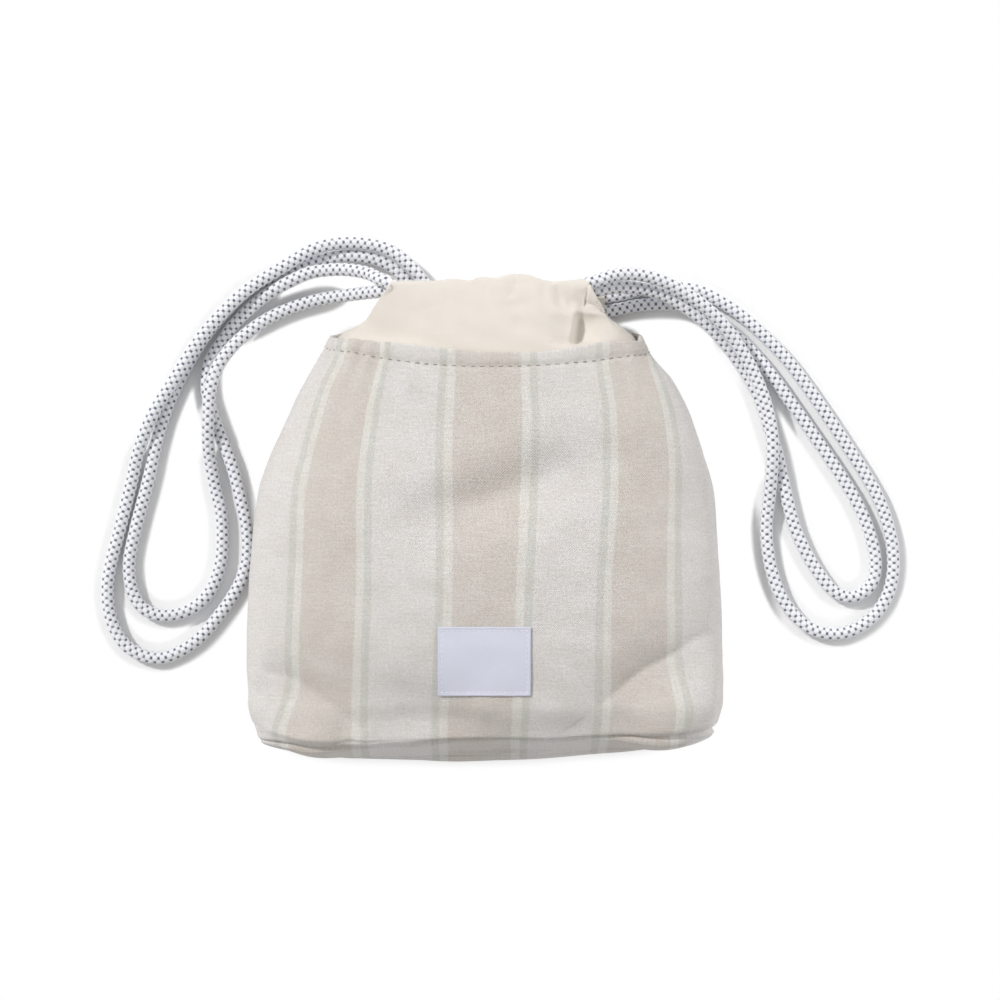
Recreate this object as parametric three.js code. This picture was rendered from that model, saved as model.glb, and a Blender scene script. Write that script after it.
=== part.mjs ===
// A striped drawstring purse that lies on its back: a boxed cloth bag with a lining, a gathered
// collar with a cord channel front and back, and two rings of round braided cord.
// Millimetres. +X to the right, +Y from the base towards the mouth, +Z up from the surface it
// lies on. The origin is on that surface, under the middle of the bag.
import * as THREE from 'three';

// Bag body.
const BAG_HALF_WIDTH = 105.4;
const BAG_HEIGHT = 57.5;
const BASE_Y = -97;
const HEM_SIDE_Y = 81;
const HEM_FRONT_DIP = 7.5;
const HEM_BACK_RISE = 3;
const BASE_LEAN = 12.5;
const BASE_LEAN_END = 0.16;
const BASE_SEAM_HEIGHT = 22;
const BASE_SEAM_Y = -106.5;
const BASE_SEAM_END_RISE = 8.5;
const BASE_SEAM_SHARE = 0.96;
const BACK_EXPONENT = 4;
const FLOOR_PRESS = 0.8;
const CORE_FROM_BASE = 17;
const CORE_PAST_HEM = 9;
const CORE_HEIGHT = 15;
const CORE_WIDTH_SHARE = 0.85;

// Cross-sections from the base to the hem. Each row: share of the bag's length, share of its half
// width, centre x, share of its height, side height, exponent of the front, lift of the back.
const BAG_SECTIONS = [
  { at: 0, half: 0.949, centre: 0.2, top: 0.8, side: 20, exponent: 2.7, lift: 0 },
  { at: 0.09, half: 0.994, centre: 0, top: 0.913, side: 20, exponent: 2.6, lift: 0 },
  { at: 0.247, half: 1, centre: 0, top: 1, side: 20, exponent: 2.5, lift: 0 },
  { at: 0.5, half: 0.981, centre: 0.2, top: 0.991, side: 19, exponent: 2.5, lift: 0 },
  { at: 0.657, half: 0.943, centre: 0.7, top: 0.93, side: 17.5, exponent: 2.4, lift: 0 },
  { at: 0.837, half: 0.82, centre: 1.6, top: 0.817, side: 14.5, exponent: 2.35, lift: 0.4 },
  { at: 1, half: 0.676, centre: 2.3, top: 0.73, side: 13, exponent: 2.3, lift: 1.5 },
];

// Cloth layers and the room between them.
const OUTER_CLOTH = 1.2;
const LINING_CLOTH = 0.6;
const COLLAR_CLOTH = 0.8;
const LAYER_GAP = 0.65;
const SEAT_GAP = 0.3;
const HEM_TURN = 12;
const HEM_LAYERS = 2;
const COLLAR_TUCK = 11.2;
const SEAM_GAP = 1.2;

// How finely the cloth is divided.
const COLUMNS = 18;
const BASE_ROWS = 3;
const WALL_ROW_SHARES = [0.03, 0.1, 0.24, 0.42, 0.61, 0.79];
const COLLAR_FIRST_COLUMN = 2;

// Sewing thread.
const THREAD_WIDTH = 0.6;
const THREAD_HEIGHT = 0.5;
const HEM_STITCH_DROP = 7.5;
const HEM_STITCH_FIRST_COLUMN = 1;

// Label.
const LABEL_WIDTH = 39.6;
const LABEL_HEIGHT = 29.4;
const LABEL_CENTRE_X = -0.2;
const LABEL_CENTRE_Y = -60;
const LABEL_THICKNESS = 0.6;
const LABEL_STITCH_INSET = 1.3;
const LABEL_COLUMNS = 8;
const LABEL_ROWS = 6;

// Cord and the channels that it runs in.
const CORD_DIAMETER = 6;
const CORD_SIDES = 8;
const CORD_STEP = 12;
const CORD_END_GAP = 0.3;
const CORD_LEAD_IN = 4;
const CORD_PITCH = 6.35;
const CHANNEL_CLEARANCE = 0.6;
const FRONT_CHANNEL = { left: -41.5, right: 46, y: 102, z: 18.3, tiltY: 3.3, swing: 10 };
const BACK_CHANNEL = { left: -12, right: 50, y: 93.6, floorGap: 0.1, swing: 2 };
const FRONT_RUN = { left: -12.7, right: 17.7 };
const BACK_SPLICE = { left: 14.3, right: 23.7 };
const LEFT_HINGE_X = -52;
const RIGHT_HINGE_X = 56;
const SLEEVE_ARC_STEPS = 6;
const COLLAR_CURVE_STEPS = 4;

const COLOURS = {
  outer: 0xd6d2cb,
  lining: 0xe9e3d8,
  collar: 0xebe3d8,
  label: 0xd8d8e2,
  thread: 0xcfc8bc,
  cord: 0xc9ccd8,
  splice: 0xb4b8c6,
};

const cordRadius = CORD_DIAMETER / 2;
const channelRadius = cordRadius + CHANNEL_CLEARANCE;
const sleeveRadius = channelRadius + COLLAR_CLOTH;
const hemThickness = OUTER_CLOTH * HEM_LAYERS;
const bagLength = HEM_SIDE_Y - BASE_Y;

function clothMaterial(colour, roughness) {
  return new THREE.MeshStandardMaterial({ color: colour, roughness, metalness: 0 });
}

const materials = {
  outer: clothMaterial(COLOURS.outer, 0.9),
  lining: clothMaterial(COLOURS.lining, 0.95),
  collar: clothMaterial(COLOURS.collar, 0.9),
  label: clothMaterial(COLOURS.label, 0.7),
  thread: clothMaterial(COLOURS.thread, 0.8),
  cord: clothMaterial(COLOURS.cord, 0.8),
  splice: clothMaterial(COLOURS.splice, 0.8),
};

const purse = new THREE.Group();

function addPiece(name, geometry, material) {
  const mesh = new THREE.Mesh(geometry, material);
  mesh.name = name;
  purse.add(mesh);
}

function lerp(a, b, t) {
  return a + (b - a) * t;
}

// A smooth value between four neighbouring rows of a table.
function smoothBetween(before, start, end, after, t) {
  const slopeIn = (end - before) / 2;
  const slopeOut = (after - start) / 2;
  const t2 = t * t;
  const t3 = t2 * t;
  const fromStart = (2 * t3 - 3 * t2 + 1) * start + (t3 - 2 * t2 + t) * slopeIn;
  const fromEnd = (3 * t2 - 2 * t3) * end + (t3 - t2) * slopeOut;
  return fromStart + fromEnd;
}

// The cross-section at a share of the bag's length, 0 at the base and 1 at the hem.
function sectionAt(share) {
  let row = 0;
  while (row < BAG_SECTIONS.length - 2 && BAG_SECTIONS[row + 1].at < share) row += 1;
  const start = BAG_SECTIONS[row];
  const end = BAG_SECTIONS[row + 1];
  const before = BAG_SECTIONS[Math.max(row - 1, 0)];
  const after = BAG_SECTIONS[Math.min(row + 2, BAG_SECTIONS.length - 1)];
  const t = (share - start.at) / (end.at - start.at);
  const section = { y: lerp(BASE_Y, HEM_SIDE_Y, share) };
  for (const key of ['half', 'centre', 'top', 'side', 'exponent', 'lift']) {
    section[key] = smoothBetween(before[key], start[key], end[key], after[key], t);
  }
  section.half *= BAG_HALF_WIDTH;
  section.top *= BAG_HEIGHT;
  return section;
}

// A point of the bag's outside. The angle runs from the right side seam (0) over the front
// (a quarter turn) to the left side seam (half a turn) and on under the back.
function wallPoint(angle, share) {
  const section = sectionAt(share);
  const onFront = Math.sin(angle) >= -1e-9;
  const power = 2 / (onFront ? section.exponent : BACK_EXPONENT);
  const across = Math.sign(Math.cos(angle)) * Math.abs(Math.cos(angle)) ** power;
  const up = Math.abs(Math.sin(angle)) ** power;
  const x = section.centre + section.half * across;
  if (onFront) {
    const dip = HEM_FRONT_DIP * share ** 4;
    const z = section.side + (section.top - section.side) * up;
    return new THREE.Vector3(x, section.y - dip * up, z);
  }
  const depth = section.side - section.lift;
  const z = Math.max(section.lift, section.side - (depth + FLOOR_PRESS) * up);
  const down = (section.side - z) / depth;
  const lean = BASE_LEAN * Math.max(0, 1 - share / BASE_LEAN_END) ** 2;
  const roundOff = 1 - 0.45 * Math.abs(across) ** 3;
  const rise = HEM_BACK_RISE * share ** 4;
  return new THREE.Vector3(x, section.y + (rise - lean * roundOff) * down, z);
}

// A point of the base, between the base seam (0) and the edge of the wall (1).
function basePoint(angle, share) {
  const edge = wallPoint(angle, 0);
  const section = sectionAt(0);
  const across = (edge.x - section.centre) / section.half;
  const seamX = section.centre + section.half * BASE_SEAM_SHARE * across;
  const seamY = BASE_SEAM_Y + BASE_SEAM_END_RISE * Math.abs(across) ** 4;
  const seam = new THREE.Vector3(seamX, seamY, BASE_SEAM_HEIGHT);
  return seam.lerp(edge, share);
}

// Rows of the cloth from the base seam to the hem. Values under 0 are on the base.
function clothRows(lastShare, extraShares) {
  const rows = [];
  for (let i = 0; i < BASE_ROWS; i += 1) rows.push(-1 + i / BASE_ROWS);
  rows.push(0);
  for (const share of WALL_ROW_SHARES) rows.push(share);
  return rows.filter((row) => row < lastShare).concat(extraShares, [lastShare]);
}

function clothPoint(angle, row) {
  return row < 0 ? basePoint(angle, 1 + row) : wallPoint(angle, row);
}

function columnAngle(column, side) {
  const turn = (Math.PI * column) / COLUMNS;
  return side === 'front' ? Math.PI - turn : Math.PI + turn;
}

// The grid of outside points of one half of the bag, with its edges drawn back from the seams.
function clothGrid(side, rows) {
  const seamShift = (side === 'front' ? 1 : -1) * (SEAM_GAP / 2);
  return rows.map((row, r) => {
    const line = [];
    for (let c = 0; c <= COLUMNS; c += 1) {
      const point = clothPoint(columnAngle(c, side), row);
      if (c === 0 || c === COLUMNS || (r === 0 && row < 0)) point.z += seamShift;
      line.push(point);
    }
    return line;
  });
}

// A point on the bag's middle line, in from a point of its cloth.
function insideOf(point) {
  const y = THREE.MathUtils.clamp(point.y, BASE_Y + CORE_FROM_BASE, HEM_SIDE_Y + CORE_PAST_HEM);
  return new THREE.Vector3(point.x * CORE_WIDTH_SHARE, y, CORE_HEIGHT);
}

// Unit normals of a grid that point away from the middle of the bag.
function gridNormals(grid) {
  const lastRow = grid.length - 1;
  const lastColumn = grid[0].length - 1;
  return grid.map((line, r) => line.map((point, c) => {
    const left = grid[r][Math.max(c - 1, 0)];
    const right = grid[r][Math.min(c + 1, lastColumn)];
    const below = grid[Math.max(r - 1, 0)][c];
    const above = grid[Math.min(r + 1, lastRow)][c];
    const across = right.clone().sub(left);
    const along = above.clone().sub(below);
    const normal = across.cross(along).normalize();
    const core = insideOf(point);
    if (normal.dot(point.clone().sub(core)) < 0) normal.negate();
    return normal;
  }));
}

function offsetGrid(grid, normals, distanceOfRow) {
  return grid.map((line, r) => line.map((point, c) => (
    point.clone().addScaledVector(normals[r][c], -distanceOfRow(r))
  )));
}

// Collects triangles and turns them into a closed geometry with its faces pointing out.
class SolidBuilder {
  constructor() {
    this.positions = [];
    this.triangles = [];
  }

  point(vector) {
    this.positions.push(vector.x, vector.y, vector.z);
    return this.positions.length / 3 - 1;
  }

  quad(a, b, c, d) {
    this.triangles.push(a, b, c, a, c, d);
  }

  strip(first, second) {
    for (let i = 0; i < first.length - 1; i += 1) {
      this.quad(first[i], first[i + 1], second[i + 1], second[i]);
    }
  }

  volume() {
    const corner = (index) => new THREE.Vector3().fromArray(this.positions, index * 3);
    let total = 0;
    for (let i = 0; i < this.triangles.length; i += 3) {
      const [a, b, c] = this.triangles.slice(i, i + 3).map(corner);
      total += a.dot(b.cross(c)) / 6;
    }
    return total;
  }

  geometry() {
    if (this.volume() < 0) {
      for (let i = 0; i < this.triangles.length; i += 3) {
        [this.triangles[i], this.triangles[i + 1]] = [this.triangles[i + 1], this.triangles[i]];
      }
    }
    const geometry = new THREE.BufferGeometry();
    geometry.setAttribute('position', new THREE.Float32BufferAttribute(this.positions, 3));
    geometry.setIndex(this.triangles);
    geometry.computeVertexNormals();
    return geometry;
  }
}

// A closed sheet between an outer and an inner grid of points.
function sheetGeometry(outer, inner) {
  const solid = new SolidBuilder();
  const outside = outer.map((line) => line.map((point) => solid.point(point)));
  const inside = inner.map((line) => line.map((point) => solid.point(point)));
  for (let r = 0; r < outside.length - 1; r += 1) {
    solid.strip(outside[r], outside[r + 1]);
    solid.strip(inside[r + 1], inside[r]);
  }
  const last = outside.length - 1;
  const firstColumn = (lines) => lines.map((line) => line[0]);
  const lastColumn = (lines) => lines.map((line) => line[line.length - 1]);
  solid.strip(inside[0], outside[0]);
  solid.strip(outside[last], inside[last]);
  solid.strip(firstColumn(outside), firstColumn(inside));
  solid.strip(lastColumn(inside), lastColumn(outside));
  return solid.geometry();
}

// A thread of rectangular section along points, each with the direction that faces off the cloth.
function threadGeometry(points, ups, closed) {
  const solid = new SolidBuilder();
  const count = points.length;
  const rings = points.map((point, i) => {
    const next = points[closed ? (i + 1) % count : Math.min(i + 1, count - 1)];
    const previous = points[closed ? (i + count - 1) % count : Math.max(i - 1, 0)];
    const tangent = next.clone().sub(previous).normalize();
    const side = tangent.clone().cross(ups[i]).normalize().multiplyScalar(THREAD_WIDTH / 2);
    const up = side.clone().cross(tangent).normalize().multiplyScalar(THREAD_HEIGHT / 2);
    return [[1, 1], [-1, 1], [-1, -1], [1, -1]].map(([a, b]) => (
      solid.point(point.clone().addScaledVector(side, a).addScaledVector(up, b))
    ));
  });
  const spans = closed ? count : count - 1;
  for (let i = 0; i < spans; i += 1) {
    const start = rings[i];
    const end = rings[(i + 1) % count];
    solid.strip([...start, start[0]], [...end, end[0]]);
  }
  if (!closed) {
    const [a, b, c, d] = rings[0];
    const [e, f, g, h] = rings[count - 1];
    solid.quad(d, c, b, a);
    solid.quad(e, f, g, h);
  }
  return solid.geometry();
}

// Outer cloth: front and back panel, each with its half of the base and its turned hem.
const hemTurnShare = 1 - HEM_TURN / bagLength;
const hemStepShare = hemTurnShare + THREAD_WIDTH / bagLength;
const outerRows = clothRows(1, [hemTurnShare, hemStepShare, (1 + hemStepShare) / 2]);
const liningRows = clothRows(hemTurnShare - THREAD_WIDTH / bagLength, []);
const liningOuterOffset = OUTER_CLOTH + LAYER_GAP;
const liningInnerOffset = liningOuterOffset + LINING_CLOTH;

function addPanels(side) {
  const outerGrid = clothGrid(side, outerRows);
  const outerNormals = gridNormals(outerGrid);
  const wall = (r) => (outerRows[r] >= hemStepShare ? hemThickness : OUTER_CLOTH);
  addPiece(
    `outer_${side}`,
    sheetGeometry(outerGrid, offsetGrid(outerGrid, outerNormals, wall)),
    materials.outer,
  );
  const liningGrid = clothGrid(side, liningRows);
  const liningNormals = gridNormals(liningGrid);
  addPiece(
    `lining_${side}`,
    sheetGeometry(
      offsetGrid(liningGrid, liningNormals, () => liningOuterOffset),
      offsetGrid(liningGrid, liningNormals, () => liningInnerOffset),
    ),
    materials.lining,
  );
}

// A point on the bag's outside with its normal, found from its close neighbours.
function surfaceFrame(angle, row) {
  const point = clothPoint(angle, row);
  const nudge = 0.002;
  const across = clothPoint(angle + nudge, row).sub(clothPoint(angle - nudge, row));
  const along = clothPoint(angle, row + nudge).sub(clothPoint(angle, row - nudge));
  const normal = across.cross(along).normalize();
  const core = insideOf(point);
  if (normal.dot(point.clone().sub(core)) < 0) normal.negate();
  return { point, normal };
}

// The top stitching that holds the turned hem down, front and back.
function addHemThread(side) {
  const share = 1 - HEM_STITCH_DROP / bagLength;
  const points = [];
  const ups = [];
  for (let c = HEM_STITCH_FIRST_COLUMN; c <= COLUMNS - HEM_STITCH_FIRST_COLUMN; c += 1) {
    const { point, normal } = surfaceFrame(columnAngle(c, side), share);
    points.push(point.addScaledVector(normal, SEAT_GAP + THREAD_HEIGHT / 2));
    ups.push(normal);
  }
  addPiece(`hem_thread_${side}`, threadGeometry(points, ups, false), materials.thread);
}

// The seams that join the front and back panels: up each side and along the base.
function addSeamThreads() {
  for (const [name, angle] of [['right', 0], ['left', Math.PI]]) {
    const outward = new THREE.Vector3(Math.cos(angle), 0, 0);
    const rows = outerRows.filter((row) => row >= 0);
    const points = rows.map((row) => {
      const inset = -(OUTER_CLOTH / 2);
      return wallPoint(angle, row).addScaledVector(outward, inset);
    });
    points[0].lerp(points[1], 0.5);
    const ups = points.map(() => outward);
    addPiece(`side_seam_thread_${name}`, threadGeometry(points, ups, false), materials.thread);
  }
  const points = [];
  const ups = [];
  for (let c = 1; c < COLUMNS; c += 1) {
    const point = basePoint(columnAngle(c, 'front'), 0);
    point.y += THREAD_HEIGHT / 2 + 0.05;
    points.push(point);
    ups.push(new THREE.Vector3(0, -1, 0));
  }
  addPiece('base_seam_thread', threadGeometry(points, ups, false), materials.thread);
}

// The short seams that box the two lower corners, inside the lining.
const CORNER_SEAM_SHARE = 0.05;
const CORNER_SEAM_ANGLES = [0.5, 0.3, 0.12, -0.004, -0.03, -0.08];

function addCornerThreads() {
  for (const [name, mirror] of [['right', false], ['left', true]]) {
    const points = [];
    const ups = [];
    for (const turn of CORNER_SEAM_ANGLES) {
      const { point, normal } = surfaceFrame(mirror ? Math.PI - turn : turn, CORNER_SEAM_SHARE);
      const depth = liningInnerOffset + LAYER_GAP + THREAD_HEIGHT;
      points.push(point.addScaledVector(normal, -depth));
      ups.push(normal);
    }
    addPiece(`corner_seam_thread_${name}`, threadGeometry(points, ups, false), materials.thread);
  }
}

// A point of the front at a given x and y, with its normal.
function frontFrame(x, y) {
  const share = (y - BASE_Y) / bagLength;
  const section = sectionAt(share);
  const across = THREE.MathUtils.clamp((x - section.centre) / section.half, -1, 1);
  const angle = Math.acos(Math.sign(across) * Math.abs(across) ** (section.exponent / 2));
  return surfaceFrame(angle, share);
}

function addLabel() {
  const outer = [];
  const inner = [];
  for (let r = 0; r <= LABEL_ROWS; r += 1) {
    const y = LABEL_CENTRE_Y + LABEL_HEIGHT * (r / LABEL_ROWS - 0.5);
    const outerLine = [];
    const innerLine = [];
    for (let c = 0; c <= LABEL_COLUMNS; c += 1) {
      const x = LABEL_CENTRE_X + LABEL_WIDTH * (c / LABEL_COLUMNS - 0.5);
      const { point, normal } = frontFrame(x, y);
      innerLine.push(point.clone().addScaledVector(normal, SEAT_GAP));
      outerLine.push(point.clone().addScaledVector(normal, SEAT_GAP + LABEL_THICKNESS));
    }
    outer.push(outerLine);
    inner.push(innerLine);
  }
  addPiece('label', sheetGeometry(outer, inner), materials.label);

  const halfWidth = LABEL_WIDTH / 2 - LABEL_STITCH_INSET;
  const halfHeight = LABEL_HEIGHT / 2 - LABEL_STITCH_INSET;
  const corners = [[-1, -1], [1, -1], [1, 1], [-1, 1]];
  const lift = SEAT_GAP + LABEL_THICKNESS + SEAT_GAP + THREAD_HEIGHT / 2;
  const points = [];
  const ups = [];
  corners.forEach(([cornerX, cornerY], i) => {
    const [nextX, nextY] = corners[(i + 1) % corners.length];
    for (let step = 0; step < LABEL_ROWS; step += 1) {
      const x = LABEL_CENTRE_X + halfWidth * lerp(cornerX, nextX, step / LABEL_ROWS);
      const y = LABEL_CENTRE_Y + halfHeight * lerp(cornerY, nextY, step / LABEL_ROWS);
      const { point, normal } = frontFrame(x, y);
      points.push(point.addScaledVector(normal, lift));
      ups.push(normal);
    }
  });
  addPiece('label_thread', threadGeometry(points, ups, true), materials.thread);
}

// Where the two cords run in each channel, as [y, z] pairs.
const backCordZ = sleeveRadius + BACK_CHANNEL.floorGap;
const frontTiltZ = Math.sqrt(CORD_PITCH ** 2 - FRONT_CHANNEL.tiltY ** 2);
const innerFrontLine = [FRONT_CHANNEL.y, FRONT_CHANNEL.z];
const outerFrontLine = [FRONT_CHANNEL.y + FRONT_CHANNEL.tiltY, FRONT_CHANNEL.z + frontTiltZ];
const innerBackLine = [BACK_CHANNEL.y, backCordZ];
const outerBackLine = [BACK_CHANNEL.y + CORD_PITCH, backCordZ];

// The outline of a channel round two parallel cords, as [y, z] pairs, with two extra points on
// each flat side. It starts at the top of the side that faces the bag and goes over the cords.
function channelOutline(innerLine, outerLine, radius) {
  const along = [outerLine[0] - innerLine[0], outerLine[1] - innerLine[1]];
  const length = Math.hypot(along[0], along[1]);
  const u = [along[0] / length, along[1] / length];
  const p = [-u[1], u[0]];
  const at = (line, a, b) => [line[0] + a * p[0] + b * u[0], line[1] + a * p[1] + b * u[1]];
  const outline = [];
  for (const sign of [1, -1]) {
    const line = sign > 0 ? outerLine : innerLine;
    const opposite = sign > 0 ? innerLine : outerLine;
    for (let i = 0; i <= SLEEVE_ARC_STEPS; i += 1) {
      const turn = (Math.PI * i) / SLEEVE_ARC_STEPS;
      outline.push(at(line, sign * radius * Math.cos(turn), sign * radius * Math.sin(turn)));
    }
    const end = outline[outline.length - 1];
    const far = at(opposite, -sign * radius, 0);
    for (const share of [1 / 3, 2 / 3]) {
      outline.push([lerp(end[0], far[0], share), lerp(end[1], far[1], share)]);
    }
  }
  return outline;
}

// The collar hangs on the hem inside and rises to its channel. Its outer and inner side are
// curves from the tuck under the hem to the two points where they meet the channel.
function collarCurve(side, column, offset, joinY, joinZ, channel) {
  const angle = columnAngle(column, side);
  const inside = (drop) => {
    const { point, normal } = surfaceFrame(angle, Math.min(1 - drop / bagLength, 0.997));
    return point.addScaledVector(normal, -offset);
  };
  const low = inside(COLLAR_TUCK);
  const hem = inside(0);
  const leaving = hem.clone().sub(low).normalize();
  const reach = (column - COLLAR_FIRST_COLUMN) / (COLUMNS - 2 * COLLAR_FIRST_COLUMN);
  const join = new THREE.Vector3(lerp(channel.left, channel.right, reach), joinY, joinZ);
  const bend = hem.clone().addScaledVector(leaving, channel.swing);
  const curve = new THREE.QuadraticBezierCurve3(hem, bend, join);
  const points = [low];
  for (let i = 0; i < COLLAR_CURVE_STEPS; i += 1) {
    points.push(curve.getPoint(i / COLLAR_CURVE_STEPS));
  }
  return points;
}

function addCollar(side, innerLine, outerLine, channel, joinIndex) {
  const full = channelOutline(innerLine, outerLine, sleeveRadius);
  const count = full.length;
  const sleeve = [];
  for (let i = 1; i < count; i += 1) sleeve.push(full[(joinIndex + i) % count]);
  if (side === 'back') sleeve.reverse();
  const bore = channelOutline(innerLine, outerLine, channelRadius);
  const outerOffset = hemThickness + LAYER_GAP;
  const solid = new SolidBuilder();
  const loops = [];
  const bores = [];
  const ends = [];
  for (let column = COLLAR_FIRST_COLUMN; column <= COLUMNS - COLLAR_FIRST_COLUMN; column += 1) {
    const reach = (column - COLLAR_FIRST_COLUMN) / (COLUMNS - 2 * COLLAR_FIRST_COLUMN);
    const x = lerp(channel.left, channel.right, reach);
    const [startY, startZ] = sleeve[0];
    const [endY, endZ] = sleeve[sleeve.length - 1];
    const outside = collarCurve(side, column, outerOffset, startY, startZ, channel);
    const inside = collarCurve(side, column, outerOffset + COLLAR_CLOTH, endY, endZ, channel);
    const outsideIds = outside.map((point) => solid.point(point));
    const sleeveIds = sleeve.map(([y, z]) => solid.point(new THREE.Vector3(x, y, z)));
    const insideIds = inside.map((point) => solid.point(point));
    const boreIds = bore.map(([y, z]) => solid.point(new THREE.Vector3(x, y, z)));
    loops.push([...outsideIds, ...sleeveIds, ...insideIds.slice().reverse(), outsideIds[0]]);
    bores.push([...boreIds, boreIds[0]]);
    ends.push({ outsideIds, sleeveIds, insideIds, boreIds });
  }
  const boreFollows = side === 'front';
  for (let i = 0; i < loops.length - 1; i += 1) {
    solid.strip(loops[i], loops[i + 1]);
    if (boreFollows) solid.strip(bores[i + 1], bores[i]);
    else solid.strip(bores[i], bores[i + 1]);
  }
  const flat = (pairs) => pairs.map(([y, z]) => new THREE.Vector2(y, z));
  const faces = THREE.ShapeUtils.triangulateShape(flat(sleeve), [flat(bore)]);
  const clockwise = THREE.ShapeUtils.isClockWise(flat(sleeve));
  [ends[0], ends[ends.length - 1]].forEach((end, which) => {
    const ids = [...end.sleeveIds, ...end.boreIds];
    const first = [...end.outsideIds, end.sleeveIds[0]];
    const second = [...end.insideIds, end.sleeveIds[end.sleeveIds.length - 1]];
    if (which === 0) solid.strip(second, first);
    else solid.strip(first, second);
    for (const [a, b, c] of faces) {
      const turn = (which === 0) === clockwise;
      if (turn) solid.triangles.push(ids[a], ids[b], ids[c]);
      else solid.triangles.push(ids[a], ids[c], ids[b]);
    }
  });
  addPiece(`collar_${side}`, solid.geometry(), materials.collar);
}

// The row of stitches that closes each channel, on the collar's outer side.
const CASING_STITCH_DROP = 2.2;
const CASING_STITCH_COLUMN = COLLAR_FIRST_COLUMN + 2;

function addCasingThread(side, innerLine, outerLine, channel, joinIndex) {
  const full = channelOutline(innerLine, outerLine, sleeveRadius);
  const next = side === 'front' ? 1 : -1;
  const [joinY, joinZ] = full[(joinIndex + next + full.length) % full.length];
  const offset = hemThickness + LAYER_GAP;
  const points = [];
  const ups = [];
  for (let column = CASING_STITCH_COLUMN; column <= COLUMNS - CASING_STITCH_COLUMN; column += 1) {
    const reach = (column - COLLAR_FIRST_COLUMN) / (COLUMNS - 2 * COLLAR_FIRST_COLUMN);
    const join = new THREE.Vector3(lerp(channel.left, channel.right, reach), joinY, joinZ);
    const curve = collarCurve(side, column, offset, joinY, joinZ, channel);
    const along = curve[curve.length - 1].clone().sub(join).normalize();
    const normal = new THREE.Vector3(1, 0, 0).cross(along).normalize();
    if (normal.z * next < 0) normal.negate();
    const seat = join.addScaledVector(along, CASING_STITCH_DROP);
    points.push(seat.addScaledVector(normal, SEAT_GAP + THREAD_HEIGHT / 2));
    ups.push(normal);
  }
  addPiece(`casing_thread_${side}`, threadGeometry(points, ups, false), materials.thread);
}

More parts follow.
